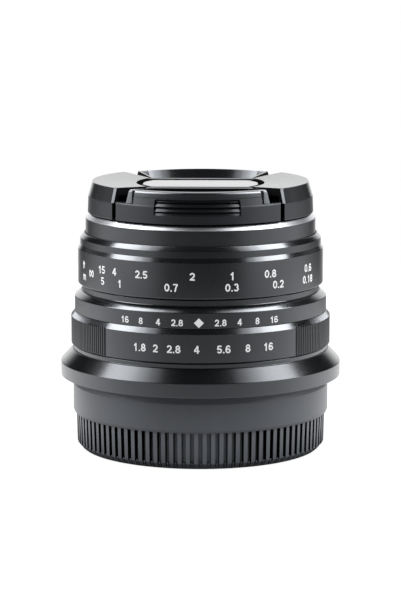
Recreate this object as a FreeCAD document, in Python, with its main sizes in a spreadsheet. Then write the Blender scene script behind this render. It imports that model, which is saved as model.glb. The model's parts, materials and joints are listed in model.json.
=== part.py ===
import FreeCAD, Part
import Sketcher
import math
import os
import re

Vector = FreeCAD.Vector

# Compact 25 mm f/1.8 manual prime lens, standing on its rear cap with the front cap on.
# Millimetres, Z is the optical axis, z = 0 is the underside of the rear cap, -Y is the index side.

# Dimensions: alias, number or formula, meaning. A formula ties a size to the one that it fits.
SIZES = [
    # clearances
    ("running_gap", 0.10, "radial and axial running clearance between turning rings"),
    ("slide_gap", 0.08, "radial clearance of sliding and threaded fits"),
    ("seat_gap", 0.05, "clearance where loose pieces meet face to face"),
    ("cell_gap", 0.05, "radial clearance of glass and rings in a cell"),
    # tube, guide and sleeve, each outside the one before
    ("tube_bore", 21.5, "bore of the optical tube"),
    ("tube_wall", 1.32, "wall of the optical tube"),
    ("tube_radius", "tube_bore + tube_wall", "outside of the optical tube"),
    ("guide_wall", 1.10, "wall of the guide barrel"),
    ("guide_radius", "tube_radius + slide_gap + guide_wall", "outside of the guide barrel"),
    ("sleeve_wall", 2.15, "wall of the sleeve that carries the aperture ring"),
    ("sleeve_radius", "guide_radius + cell_gap + sleeve_wall", "outside of the sleeve"),
    ("guide_seat", 0.6, "seat of the guide barrel in the fixed barrel"),
    ("barrel_bore", "guide_radius - guide_seat", "bore of the fixed barrel"),
    # lens mount, screwed to the wall round the fixed barrel's bore
    ("screw_step", 0.5, "screw centres outside the fixed barrel's bore"),
    ("screw_circle", "barrel_bore + screw_step", "radius of the mount screw circle"),
    ("plate_margin", 4.1, "bayonet plate outside the screw centres"),
    ("plate_radius", "screw_circle + plate_margin", "outer radius of the bayonet plate"),
    ("plate_thickness", 1.5, "thickness of the bayonet plate"),
    ("plate_land", 6.8, "bare ring of the bayonet plate round its tube"),
    ("bayonet_radius", "plate_radius - plate_land", "outside of the bayonet tube"),
    ("bayonet_wall", 1.8, "wall of the bayonet tube"),
    ("bayonet_bore", "bayonet_radius - bayonet_wall", "inside of the bayonet tube"),
    ("bayonet_depth", 5.4, "length of the bayonet tube below the mount plane"),
    ("lug_reach", 1.8, "radial reach of the bayonet lugs"),
    ("lug_radius", "bayonet_radius + lug_reach", "outer radius of the bayonet lugs"),
    ("lug_thickness", 1.2, "thickness of the bayonet lugs"),
    ("lug_drop", 3.4, "mount plane to the upper face of the lugs"),
    ("lug_angle", 50, "angle of one bayonet lug"),
    ("lug_count", 3, "number of bayonet lugs"),
    ("screw_count", 4, "number of mount screws"),
    ("screw_head_radius", 1.3, "mount screw head"),
    ("screw_head_height", 0.7, "mount screw head"),
    ("screw_radius", 0.8, "mount screw shank"),
    ("screw_length", 3.4, "mount screw from head face to tip"),
    ("screw_clearance", 0.08, "clearance round the screw in its hole"),
    # rear cap
    ("cap_height", 15.95, "height of the rear cap"),
    ("cap_inset", 0.33, "smooth band inside the plate's edge"),
    ("cap_band_radius", "plate_radius - cap_inset", "smooth band above the ribs"),
    ("cap_band_bevel", 0.5, "bevel under the smooth band"),
    ("cap_rib_step", 0.61, "smooth band outside the ribbed wall"),
    ("cap_rib_radius", "cap_band_radius - cap_rib_step", "ribbed wall at its top"),
    ("cap_rib_top", 8.0, "top of the ribbed zone"),
    ("cap_rib_draft", 0.22, "draft of the ribbed wall"),
    ("cap_foot_radius", "cap_rib_radius - cap_rib_draft", "ribbed wall above the foot bevel"),
    ("cap_foot_bevel", 1.3, "height of the foot bevel"),
    ("cap_foot_width", 1.24, "width of the foot bevel"),
    ("cap_base_radius", "cap_foot_radius - cap_foot_width", "flat underside of the rear cap"),
    ("cap_rim_width", 0.47, "width of the rim bevel"),
    ("cap_rim_radius", "cap_band_radius - cap_rim_width", "outer edge of the rim"),
    ("cap_rim_bevel", 1.85, "height of the rim bevel"),
    ("cap_wall", 2.77, "wall of the rear cap at its band"),
    ("cap_wall_radius", "cap_band_radius - cap_wall", "inside of the rear cap wall"),
    ("cap_floor", 1.8, "thickness of the rear cap floor"),
    ("rib_count", 96, "number of grip ribs"),
    ("groove_width", 0.55, "width of the grooves between ribs"),
    ("groove_depth", 0.7, "depth of the grooves between ribs"),
    ("cap_tab_gap", 0.6, "rear cap tabs off the bayonet tube"),
    ("cap_tab_thickness", 1.2, "thickness of the rear cap tabs"),
    ("cap_tab_rise", 0.4, "rear cap tabs above the lugs' upper face"),
    ("cap_tab_angle", 48, "angle of one rear cap tab"),
    # fixed barrel
    ("flange_wall", 2.25, "flange outside the bayonet plate"),
    ("flange_radius", "plate_radius + cell_gap + flange_wall", "flange of the fixed barrel"),
    ("flange_thickness", 3.0, "cylindrical part of the flange"),
    ("relief_step", 0.7, "relief outside the sleeve"),
    ("relief_radius", "sleeve_radius + relief_step", "dark relief under the aperture ring"),
    ("relief_height", 0.45, "dark relief under the aperture ring"),
    ("neck_step", 0.6, "neck outside the relief"),
    ("neck_radius", "relief_radius + neck_step", "neck above the flare"),
    ("neck_height", 0.95, "neck above the flare"),
    ("cone_step", 0.3, "upper end of the flare outside the neck"),
    ("cone_radius", "neck_radius + cone_step", "upper end of the flare"),
    ("cone_height", 2.7, "flared part of the fixed barrel"),
    ("web_reach", 2.6, "web behind the bayonet plate, inwards"),
    ("web_bore", "barrel_bore - web_reach", "bore of the web behind the bayonet plate"),
    ("web_thickness", 1.5, "web behind the bayonet plate"),
    # aperture ring
    ("aperture_wall", 1.75, "wall of the aperture ring"),
    ("aperture_radius", "sleeve_radius + running_gap + aperture_wall", "aperture ring"),
    ("aperture_height", 6.8, "aperture ring"),
    ("aperture_foot_bevel", 0.2, "bevel at the foot of the aperture ring"),
    ("aperture_bevel", 1.07, "height of the aperture ring bevel"),
    ("aperture_edge", 0.85, "width of the aperture ring bevel"),
    ("aperture_top_radius", "aperture_radius - aperture_edge", "top edge of the aperture ring"),
    ("open_turn", 26.3, "turn from rest to the widest stop"),
    ("close_turn", 31.0, "turn from rest to the narrowest stop"),
    ("pin_radius", 0.6, "drive pin of the aperture ring"),
    ("pin_height", 2.8, "height of the drive pin above the ring's underside"),
    ("pin_cover", 0.75, "aperture ring outside its drive pin"),
    ("pin_seat_radius", "aperture_radius - pin_cover", "outer end of the drive pin"),
    ("slot_margin", 2.4, "spare angle at each end of the drive slot"),
    # index ring
    ("index_wall", 3.2, "index ring outside the guide barrel"),
    ("index_radius", "guide_radius + cell_gap + index_wall", "fixed index ring"),
    ("index_height", 3.25, "cylindrical part of the index ring"),
    ("index_bevel", 1.16, "height of the index ring's bevel"),
    ("index_bevel_width", 1.35, "width of the index ring's bevel"),
    ("index_bevel_radius", "index_radius - index_bevel_width", "top of the index ring bevel"),
    ("index_neck_step", 0.25, "neck of the index ring inside its bevel"),
    ("index_neck_radius", "index_bevel_radius - index_neck_step", "neck of the index ring"),
    ("index_neck_height", 1.25, "neck of the index ring"),
    # focus ring and its guide
    ("front_step", 0.82, "front barrel outside the guide barrel"),
    ("front_radius", "guide_radius + front_step", "front barrel"),
    ("focus_wall", 1.58, "wall of the focus ring round the front barrel"),
    ("focus_radius", "front_radius + slide_gap + focus_wall", "focus ring"),
    ("focus_rise", 0.26, "shadow gap under the focus ring"),
    ("focus_lip_step", 0.3, "lip of the focus ring inside the index ring's neck"),
    ("focus_foot_bevel", 0.2, "bevel at the foot of the focus ring"),
    ("focus_band_height", 7.64, "cylindrical scale band with its foot bevel"),
    ("focus_bevel_height", 0.93, "bevel above the scale band"),
    ("focus_step", 0.48, "stepped upper part inside the scale band"),
    ("focus_step_radius", "focus_radius - focus_step", "stepped upper part of the focus ring"),
    ("focus_step_height", 1.38, "stepped upper part of the focus ring"),
    ("focus_edge", 0.8, "width of the focus ring's top bevel"),
    ("focus_top_radius", "focus_step_radius - focus_edge", "top edge of the focus ring"),
    ("focus_top_bevel", 0.95, "top bevel of the focus ring"),
    ("focus_lip_height", 1.25, "inward lip of the focus ring"),
    ("guide_start", 4.3, "guide barrel foot above the aperture ring's underside"),
    ("retainer_height", 1.0, "focus retaining ring"),
    ("retainer_fit", 0.02, "retaining ring on the guide barrel"),
    ("focus_turn", 60, "turn of the focus ring to each stop"),
    ("focus_travel", 2.5, "travel of the optical block to each stop"),
    ("stop_half_angle", 3.0, "half angle of the focus stop lug"),
    ("stop_margin", 0.8, "spare angle at the focus stops"),
    ("key_width", 3.0, "width of the guide keys"),
    ("key_length", 3.8, "length of the guide keys"),
    ("key_inset", 0.18, "guide keys inside the guide barrel's outside"),
    ("key_height", "slide_gap + guide_wall - key_inset", "radial height of the guide keys"),
    ("key_margin", 0.3, "spare travel of the guide keys at each end"),
    # front barrel
    ("front_clear", 0.56, "front barrel above the guide barrel at infinity"),
    ("front_rise", 4.15, "front barrel above the focus ring, with its bevel"),
    ("front_bevel", 0.92, "height of the front edge's bevel"),
    ("front_edge", 0.92, "width of the front edge's bevel"),
    ("front_edge_radius", "front_radius - front_edge", "front edge"),
    ("thread_wall", 1.92, "wall round the filter thread"),
    ("thread_radius", "front_radius - thread_wall", "bore of the filter thread"),
    ("thread_depth", 4.1, "depth of the filter thread bore"),
    ("web_depth", 1.7, "inner web of the front barrel"),
    ("front_web_reach", 1.5, "inner web inside the optical tube's bore"),
    ("front_web_bore", "tube_bore - front_web_reach", "bore of the inner web"),
    # front group
    ("first_radius", 15.0, "edge radius of the first element"),
    ("first_set", 0.75, "first element's front vertex below the ledge"),
    ("first_front", 42.0, "front curve of the first element"),
    ("first_back", 14.0, "rear curve of the first element"),
    ("first_thickness", 1.6, "centre thickness of the first element"),
    ("second_radius", 11.0, "edge radius of the second element"),
    ("second_curve", 38.0, "both curves of the second element"),
    ("second_thickness", 4.6, "centre thickness of the second element"),
    ("second_lip", 0.7, "lip that holds the second element, inwards"),
    ("second_lip_height", 1.06, "height of the lip that holds the second element"),
    ("spacer_height", 1.04, "spacer between the first and second elements"),
    ("glass_fit", 0.02, "rings off the glass that they hold"),
    ("ring_top", 0.7, "thickness of the front retaining ring's rim"),
    ("ring_hold", 0.8, "front retaining ring over the first element's edge"),
    ("window_step", 0.9, "window of the front retaining ring outside the first element"),
    # rear group
    ("rear_radius", 9.5, "edge radius of the rear elements"),
    ("rear_lip", 0.6, "rings of the rear group over the glass"),
    ("rear_clear", "rear_radius - rear_lip", "clear radius of the rear group"),
    ("third_front", 24.0, "front curve of the third element"),
    ("third_thickness", 1.2, "centre thickness of the third element"),
    ("third_back", 22.0, "cemented curve of the third and fourth elements"),
    ("fourth_back", 40.0, "rear curve of the fourth element"),
    ("fourth_thickness", 4.6, "centre thickness of the fourth element"),
    ("middle_air", 0.3, "air between the fourth and fifth elements"),
    ("fifth_front", 34.0, "front curve of the fifth element"),
    ("fifth_thickness", 4.0, "centre thickness of the fifth element"),
    ("sixth_front", 40.0, "cemented curve of the fifth and sixth elements"),
    ("sixth_back", 30.0, "rear curve of the sixth element"),
    ("sixth_thickness", 1.2, "centre thickness of the sixth element"),
    ("rear_air", 0.4, "air between the sixth and seventh elements"),
    ("seventh_front", 45.0, "front curve of the seventh element"),
    ("seventh_back", 80.0, "rear curve of the seventh element"),
    ("seventh_thickness", 2.6, "centre thickness of the seventh element"),
    ("third_drop", 2.8, "third element's front vertex below the flange of the rear cell"),
    ("cell_wall", 3.05, "wall of the rear cell"),
    ("cell_radius", "rear_radius + cell_gap + cell_wall", "outside of the rear cell"),
    ("cell_flange", 1.0, "flange of the rear cell"),
    ("cell_tail", 0.7, "rear cell behind the last vertex"),
    ("baffle_gap", 0.7, "rear light baffle round the rear cell"),
    ("baffle_bore", "cell_radius + baffle_gap", "opening of the rear light baffle"),
    ("baffle_thickness", 0.8, "thickness of the rear light baffle"),
    # diaphragm
    ("blade_count", 12, "number of diaphragm blades"),
    ("pivot_circle", 13.6, "radius of the blade pivots"),
    ("blade_bore", 7.3, "inner edge of a blade, and the widest opening"),
    ("blade_inset", 1.2, "outer edge of a blade inside the pivots"),
    ("blade_outer", "pivot_circle - blade_inset", "outer edge of a blade"),
    ("blade_span", 110, "angle of a blade's band"),
    ("blade_root", 0.8, "ear of a blade's pivot sunk into its band"),
    ("tail_length", 4.8, "pivot to cam pin of a blade"),
    ("tail_half_width", 0.65, "half width of a blade's tail"),
    ("cam_pin_radius", 0.3, "cam pin on a blade's tail"),
    ("cam_pin_gap", 0.04, "clearance of the cam pins in their slots"),
    ("cam_pin_inset", 0.05, "cam pins below the cam ring's face"),
    ("blade_turn", 27.7, "turn of a blade from widest to narrowest"),
    ("blade_thickness", 0.10, "thickness of a blade"),
    ("blade_pitch", 0.15, "height from one blade to the next"),
    ("blade_pin_radius", 0.35, "pivot pins of the blades"),
    ("blade_pin_gap", 0.03, "clearance of the pivot pins in their holes"),
    ("blade_pin_floor", 0.1, "diaphragm base under the pivot holes"),
    ("blade_ear_radius", 1.1, "ears round the blade pivots"),
    ("base_thickness", 0.7, "diaphragm base"),
    ("base_step", 0.1, "fixed stop outside the widest opening"),
    ("base_bore", "blade_bore + base_step", "fixed stop in the diaphragm base"),
    ("cam_step", 0.6, "bore of the cam ring outside the widest opening"),
    ("cam_bore", "blade_bore + cam_step", "bore of the cam ring"),
    ("cam_reach", 3.6, "cam ring outside the blade pivots"),
    ("cam_radius", "pivot_circle + cam_reach", "outside of the cam ring"),
    ("cam_thickness", 0.7, "thickness of the cam ring"),
    ("cam_clear", 0.4, "cam ring below the front cell"),
    ("arm_gap", 0.3, "fork arm inside the optical tube"),
    ("arm_radius", "tube_bore - arm_gap", "outside of the cam ring's fork arm"),
    ("arm_thickness", 0.9, "radial thickness of the fork arm"),
    ("arm_width", 3.8, "width of the fork arm"),
    ("fork_reach", 0.3, "fork slot beyond the focusing travel"),
    ("pin_reach", 0.7, "drive pin through the fork arm"),
    ("pin_tip_radius", "arm_radius - pin_reach", "inner end of the drive pin"),
    # front cap
    ("hood_inset", 0.48, "front cap's foot inside the front barrel's side"),
    ("hood_radius", "front_radius - hood_inset", "front cap at its foot"),
    ("hood_lean", 0.15, "lean of the front cap's wall up to the fold"),
    ("hood_fold_radius", "hood_radius - hood_lean", "front cap at the fold"),
    ("hood_fold_height", 3.5, "foot to fold of the front cap"),
    ("hood_rim_lean", 0.89, "lean of the front cap's wall above the fold"),
    ("hood_rim_radius", "hood_fold_radius - hood_rim_lean", "rim of the front cap"),
    ("hood_rim_width", 0.6, "width of the rim of a wing"),
    ("hood_height", 6.65, "height of the front cap"),
    ("hood_gap", 0.3, "front cap above the front edge"),
    ("hood_wall", 1.9, "wall of the front cap"),
    ("hood_floor", 1.05, "floor of the front cap"),
    ("insert_depth", 1.35, "front cap inside the filter thread"),
    ("insert_gap", 0.45, "front cap insert inside the thread"),
    ("insert_wall", 2.0, "wall of the front cap insert"),
    ("wing_reach", 6.24, "wings inwards from the foot's radius at the slits"),
    ("wing_edge", "hood_radius - wing_reach", "half width between the wings at the slits"),
    ("wing_half_angle", 46, "half angle of a wing at its top"),
    ("wing_top", 1.4, "thickness of a wing's top"),
    ("wing_dish", 0.8, "fall of a wing's top to the middle"),
    ("badge_half_length", 12.4, "half length of the centre plate"),
    ("badge_half_width", 6.3, "half width of the centre plate"),
    ("badge_corner", 2.0, "length of the centre plate's cut corners"),
    ("badge_shoulder", "badge_half_length - badge_corner", "half length of the plate's straight sides"),
    ("badge_end", 2.2, "half width of the centre plate's end"),
    ("badge_thickness", 0.65, "thickness of the centre plate"),
    ("badge_gap", 1.0, "gap round the centre plate"),
    ("bar_rim", 0.7, "bridge outside the gap round the centre plate"),
    ("bar_half_width", "badge_half_width + badge_gap + bar_rim", "half width of the bridge"),
    ("bar_drop", 1.4, "bridge below the rim"),
    ("slit", 0.8, "slit between a wing and a pinch lever"),
    ("shelf_rise", 0.3, "a pinch lever's wide foot above the fold"),
    ("lever_shelf", "hood_fold_height + shelf_rise", "height of a pinch lever's wide foot"),
    ("lever_half_angle", 36, "half angle of a pinch lever's upper wall"),
    ("lever_wall", 1.7, "wall of a pinch lever"),
    ("lever_room", 2.0, "foot plate of a pinch lever off the bridge"),
    ("lever_inner", "bar_half_width + lever_room", "inner edge of a pinch lever's foot plate"),
    ("lever_foot", 0.9, "thickness of a pinch lever's foot plate"),
    ("lever_foot_half", 12.5, "half width of a pinch lever's foot plate"),
    ("lever_travel", 1.2, "inward travel of a pinch lever"),
    ("grip_half_angle", 22, "half angle of the grip recess"),
    ("grip_start", 1.6, "foot of the grip recess above the cap's foot"),
    ("grip_pitch", 1.0, "height of one grip ridge"),
    ("grip_depth", 0.36, "depth of one grip ridge"),
    ("latch_half_width", 5.0, "half width of a latch"),
    ("latch_thickness", 1.3, "thickness of a latch"),
    ("latch_inset", 2.0, "latch inside the filter thread's bore"),
    ("latch_radius", "thread_radius - latch_inset", "outside of a latch"),
    ("claw_gap", 0.4, "claw inside the filter thread's bore"),
    ("claw_radius", "thread_radius - claw_gap", "tip of a latch claw"),
    ("claw_thickness", 0.6, "thickness of a latch claw"),
]

doc = FreeCAD.newDocument("prime_lens")
sheet = doc.addObject("Spreadsheet::Sheet", "sizes")
for row, (alias, number, meaning) in enumerate(SIZES, start=1):
    sheet.set(f"A{row}", alias)
    sheet.set(f"B{row}", f"={number}")
    sheet.set(f"C{row}", meaning)
    sheet.setAlias(f"B{row}", alias)
doc.recompute()

ALIASES = {alias for alias, number, meaning in SIZES}
PIECES = []


def size(alias):
    """The number in the sheet under an alias."""
    return float(sheet.get(alias))


def tied(text):
    """An expression in which each alias is read from the sheet."""
    def from_sheet(found):
        word = found.group()
        return f"sizes.{word}" if word in ALIASES else word
    return re.sub(r"[A-Za-z_]\w*", from_sheet, str(text))


def sag(curve, radius):
    """Depth of a spherical surface at a radius, as an expression."""
    return f"({curve} - sqrt({curve} ^ 2 - ({radius}) ^ 2))"


def piece(thing, label):
    """Register a finished sub-part under its own label."""
    thing.Label = label
    PIECES.append(thing)
    return thing


# Sketches: closed outlines whose corners are tied to the sheet
def origin_plane(body, role):
    return next(part for part in body.Origin.OriginFeatures if part.Role == role)


def close_outline(sketch, corners):
    count = len(corners)
    spots = []
    for number in range(count):
        angle = 2 * math.pi * number / count
        spots.append(Vector(20 + 8 * math.cos(angle), 20 + 8 * math.sin(angle), 0))
    for number in range(count):
        sketch.addGeometry(Part.LineSegment(spots[number], spots[(number + 1) % count]), False)
    for number in range(count):
        sketch.addConstraint(Sketcher.Constraint("Coincident", number, 2, (number + 1) % count, 1))
    for number, (across, up) in enumerate(corners):
        for kind, text in (("DistanceX", across), ("DistanceY", up)):
            index = sketch.addConstraint(Sketcher.Constraint(kind, -1, 1, number, 1, 1.0))
            sketch.setExpression(f"Constraints[{index}]", tied(text))


def body_sketch(body, name, role, corners, height="0"):
    sketch = body.newObject("Sketcher::SketchObject", name)
    sketch.AttachmentSupport = (origin_plane(body, role), [""])
    sketch.MapMode = "FlatFace"
    sketch.setExpression("AttachmentOffset.Base.z", tied(height))
    close_outline(sketch, corners)
    return sketch


def turned_body(name, corners):
    """A body that starts as a full revolution of a (radius, height) outline."""
    body = doc.addObject("PartDesign::Body", name)
    outline = body_sketch(body, name + "_outline", "XZ_Plane", corners)
    turn = body.newObject("PartDesign::Revolution", name + "_turned")
    turn.Profile = outline
    turn.ReferenceAxis = (outline, ["V_Axis"])
    turn.Angle = 360
    return body


def ring(label, corners):
    """A plain turned ring as a finished sub-part."""
    return piece(turned_body(label, corners), label)


def pocket_row(body, name, corners, start, length, count):
    """A pocket upwards from a height, repeated round the axis."""
    outline = body_sketch(body, name + "_outline", "XY_Plane", corners, start)
    pocket = body.newObject("PartDesign::Pocket", name)
    pocket.Profile = outline
    pocket.setExpression("Length", tied(length))
    pocket.Reversed = True
    row = body.newObject("PartDesign::PolarPattern", name + "_row")
    row.Originals = [pocket]
    row.Axis = (origin_plane(body, "Z_Axis"), [""])
    row.Angle = 360
    row.setExpression("Occurrences", tied(count))
    body.Tip = row
    return row


# Part primitives: boxes, cylinders and turned sectors tied to the sheet
def box(name, x0, x1, y0, y1, z0, z1):
    solid = doc.addObject("Part::Box", name)
    for side, low, high, axis in (("Length", x0, x1, "x"), ("Width", y0, y1, "y"), ("Height", z0, z1, "z")):
        solid.setExpression(side, tied(f"({high}) - ({low})"))
        solid.setExpression(f"Placement.Base.{axis}", tied(low))
    return solid


def cylinder(name, radius, z0, z1, x="0", y="0"):
    solid = doc.addObject("Part::Cylinder", name)
    solid.setExpression("Radius", tied(radius))
    solid.setExpression("Height", tied(f"({z1}) - ({z0})"))
    solid.setExpression("Placement.Base.x", tied(x))
    solid.setExpression("Placement.Base.y", tied(y))
    solid.setExpression("Placement.Base.z", tied(z0))
    return solid


def turned(name, corners, start="0", sweep="360"):
    """A revolution of a (radius, height) outline from a start angle through a sweep."""
    outline = doc.addObject("Sketcher::SketchObject", name + "_outline")
    outline.Placement = FreeCAD.Placement(Vector(0, 0, 0), FreeCAD.Rotation(Vector(1, 0, 0), 90))
    close_outline(outline, corners)
    solid = doc.addObject("Part::Revolution", name)
    solid.Source = outline
    solid.Axis = (0, 0, 1)
    solid.Base = (0, 0, 0)
    solid.Solid = True
    solid.setExpression("Angle", tied(sweep))
    solid.Placement = FreeCAD.Placement(Vector(0, 0, 0), FreeCAD.Rotation(Vector(0, 0, 1), 1))
    solid.setExpression("Placement.Rotation.Angle", tied(start))
    return solid


def sector(name, inner, outer, z0, z1, start, sweep):
    corners = [(inner, z0), (outer, z0), (outer, z1), (inner, z1)]
    return turned(name, corners, start, sweep)


def join(name, shapes):
    whole = doc.addObject("Part::MultiFuse", name)
    whole.Shapes = shapes
    return whole


def meet(name, shapes):
    whole = doc.addObject("Part::MultiCommon", name)
    whole.Shapes = shapes
    return whole


def cut(name, base, tools):
    tool = tools[0] if len(tools) == 1 else join(name + "_tools", tools)
    whole = doc.addObject("Part::Cut", name)
    whole.Base = base
    whole.Tool = tool
    return whole


def spin_copy(name, source, angle):
    """A copy of a shape turned about the axis."""
    copy = doc.addObject("Part::Compound", name)
    copy.Links = [source]
    copy.Placement = FreeCAD.Placement(Vector(0, 0, 0), FreeCAD.Rotation(Vector(0, 0, 1), 1))
    copy.setExpression("Placement.Rotation.Angle", tied(angle))
    return copy


# Heights along the axis, each from the piece below it
mount_z = "(cap_height + seat_gap)"
plate_top = f"({mount_z} + plate_thickness)"
flange_top = f"({mount_z} + flange_thickness)"
cone_top = f"({flange_top} + cone_height)"
neck_top = f"({cone_top} + neck_height)"
shoulder_z = f"({neck_top} + relief_height)"
aperture_z = f"({shoulder_z} + running_gap)"
aperture_top = f"({aperture_z} + aperture_height)"
sleeve_top = f"({aperture_top} + running_gap)"
index_top = f"({sleeve_top} + index_height)"
index_bevel_top = f"({index_top} + index_bevel)"
index_neck_top = f"({index_bevel_top} + index_neck_height)"
focus_lip_z = f"({index_neck_top} + running_gap)"
focus_z = f"({index_neck_top} + focus_rise)"
focus_lip_top = f"({focus_lip_z} + focus_lip_height)"
focus_band_top = f"({focus_z} + focus_band_height)"
focus_step_z = f"({focus_band_top} + focus_bevel_height)"
focus_step_top = f"({focus_step_z} + focus_step_height)"
focus_top = f"({focus_step_top} + focus_top_bevel)"
retainer_z = f"({focus_lip_top} + running_gap)"
guide_z = f"({aperture_z} + guide_start)"
guide_top = f"({retainer_z} + retainer_height + seat_gap)"
front_z = f"({guide_top} + focus_travel + front_clear)"
front_top = f"({focus_top} + front_rise)"
front_ledge = f"({front_top} - thread_depth)"
front_web_z = f"({front_ledge} - web_depth)"
pin_z = f"({aperture_z} + pin_height)"
web_z = f"({plate_top} + web_thickness)"
focus_bore = "(front_radius + slide_gap)"
guide_bore = "(tube_radius + slide_gap)"
key_z = f"({guide_z} + focus_travel + key_margin)"

# Heights of the front group, then of the diaphragm below it, down to the foot of the optical tube
first_top = f"({front_ledge} - first_set)"
first_bottom = f"({first_top} - first_thickness)"
first_seat = f"({first_bottom} - {sag('first_back', 'second_radius')})"
second_lip_sag = sag("second_curve", "second_radius - second_lip")
second_top = f"({first_seat} - 2 * glass_fit - spacer_height + {second_lip_sag})"
second_bottom = f"({second_top} - second_thickness)"
second_seat = f"({second_bottom} + {second_lip_sag} - glass_fit)"
front_cell_z = f"({second_seat} - second_lip_height)"
cam_top = f"({front_cell_z} - cam_clear)"
cam_z = f"({cam_top} - cam_thickness)"
blades_z = f"({cam_z} - seat_gap - blade_count * blade_pitch)"
iris_z = f"({blades_z} - seat_gap - base_thickness)"
tube_z = f"({iris_z} - cell_flange)"

# Rear cap: ribbed cup with three inner tabs that stand between the bayonet lugs
rear_cap = turned_body("rear_cap_cup", [
    ("0", "0"),
    ("cap_base_radius", "0"),
    ("cap_foot_radius", "cap_foot_bevel"),
    ("cap_rib_radius", "cap_rib_top"),
    ("cap_band_radius - cap_band_bevel * 0.4", "cap_rib_top"),
    ("cap_band_radius", "cap_rib_top + cap_band_bevel"),
    ("cap_band_radius", "cap_height - cap_rim_bevel"),
    ("cap_rim_radius", "cap_height"),
    ("cap_wall_radius", "cap_height"),
    ("cap_wall_radius", "cap_floor"),
    ("0", "cap_floor"),
])
doc.recompute()
pocket_row(rear_cap, "rib_groove", [
    ("cap_rib_radius - groove_depth", "-groove_width / 2"),
    ("cap_band_radius + 1", "-groove_width / 2"),
    ("cap_band_radius + 1", "groove_width / 2"),
    ("cap_rib_radius - groove_depth", "groove_width / 2"),
], "-1", "cap_rib_top + 1", "rib_count")
tab_top = f"({mount_z} - lug_drop + cap_tab_rise + cap_tab_thickness)"
cap_tabs = []
for number in range(int(size("lug_count"))):
    turn = f"360 * ({number} + 0.5) / lug_count - cap_tab_angle / 2"
    tab = sector(f"cap_tab_{number}", "bayonet_radius + cap_tab_gap", "cap_wall_radius + 0.6",
                 f"{tab_top} - cap_tab_thickness", tab_top, turn, "cap_tab_angle")
    cap_tabs.append(tab)
piece(join("rear_cap_joined", [rear_cap] + cap_tabs), "rear_cap")

# Mount screws on one circle through the bayonet plate into the fixed barrel
screw_solids = []
plate_holes = []
barrel_holes = []
for number in range(int(size("screw_count"))):
    turn = f"360 * ({number} + 0.5) / screw_count + 15"
    x = f"screw_circle * cos({turn})"
    y = f"screw_circle * sin({turn})"
    head = cylinder(f"screw_head_{number}", "screw_head_radius", f"{mount_z} + seat_gap",
                    f"{mount_z} + seat_gap + screw_head_height", x, y)
    shank = cylinder(f"screw_shank_{number}", "screw_radius", f"{mount_z} + seat_gap",
                     f"{mount_z} + seat_gap + screw_length", x, y)
    screw_solids.append(join(f"screw_{number}", [head, shank]))
    plate_holes.append(cylinder(f"head_hole_{number}", "screw_head_radius + screw_clearance",
                                f"{mount_z} - 1", f"{mount_z} + seat_gap + screw_head_height", x, y))
    plate_holes.append(cylinder(f"shank_hole_{number}", "screw_radius + screw_clearance",
                                f"{mount_z} - 1", f"{plate_top} + 1", x, y))
    barrel_holes.append(cylinder(f"thread_hole_{number}", "screw_radius + screw_clearance",
                                 f"{plate_top} - 1", f"{mount_z} + 2 * seat_gap + screw_length", x, y))
screws = doc.addObject("Part::Compound", "screw_set")
screws.Links = screw_solids
piece(screws, "mount_screws")

# Bayonet plate: disc, tube and three lugs
plate_body = turned("plate_turned", [
    ("bayonet_bore", f"{mount_z} - bayonet_depth"),
    ("bayonet_radius", f"{mount_z} - bayonet_depth"),
    ("bayonet_radius", mount_z),
    ("plate_radius", mount_z),
    ("plate_radius", plate_top),
    ("bayonet_bore", plate_top),
])
lugs = []
for number in range(int(size("lug_count"))):
    turn = f"360 * {number} / lug_count - lug_angle / 2"
    lugs.append(sector(f"lug_{number}", "bayonet_radius - 0.6", "lug_radius",
                       f"{mount_z} - lug_drop - lug_thickness", f"{mount_z} - lug_drop", turn, "lug_angle"))
plate_whole = join("plate_whole", [plate_body] + lugs)
piece(cut("plate_drilled", plate_whole, plate_holes), "bayonet_plate")

# Light baffle behind the bayonet plate, round the rear cell
ring("rear_baffle", [
    ("baffle_bore", plate_top),
    ("web_bore - cell_gap", plate_top),
    ("web_bore - cell_gap", f"{plate_top} + baffle_thickness"),
    ("baffle_bore", f"{plate_top} + baffle_thickness"),
])

# Fixed barrel: flange, flare, neck and the sleeve under the aperture ring
barrel_turned = turned("barrel_turned", [
    ("plate_radius + cell_gap", mount_z),
    ("flange_radius", mount_z),
    ("flange_radius", flange_top),
    ("cone_radius", cone_top),
    ("neck_radius", cone_top),
    ("neck_radius", neck_top),
    ("relief_radius", neck_top),
    ("relief_radius", shoulder_z),
    ("sleeve_radius", shoulder_z),
    ("sleeve_radius", sleeve_top),
    ("guide_radius + cell_gap", sleeve_top),
    ("guide_radius + cell_gap", guide_z),
    ("barrel_bore", guide_z),
    ("barrel_bore", web_z),
    ("web_bore", web_z),
    ("web_bore", plate_top),
    ("plate_radius + cell_gap", plate_top),
])
drive_slot = sector("drive_slot", "barrel_bore - 1", "sleeve_radius + 0.5",
                    f"{pin_z} - pin_radius - running_gap", f"{pin_z} + pin_radius + running_gap",
                    "90 - close_turn - slot_margin", "close_turn + open_turn + 2 * slot_margin")
piece(cut("barrel_slotted", barrel_turned, barrel_holes + [drive_slot]), "mount_barrel")

# Aperture ring, drilled for its drive pin
aperture_turned = turned("aperture_turned", [
    ("sleeve_radius + running_gap", aperture_z),
    ("aperture_radius - aperture_foot_bevel", aperture_z),
    ("aperture_radius", f"{aperture_z} + aperture_foot_bevel"),
    ("aperture_radius", f"{aperture_top} - aperture_bevel"),
    ("aperture_top_radius", aperture_top),
    ("sleeve_radius + running_gap", aperture_top),
])


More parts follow.
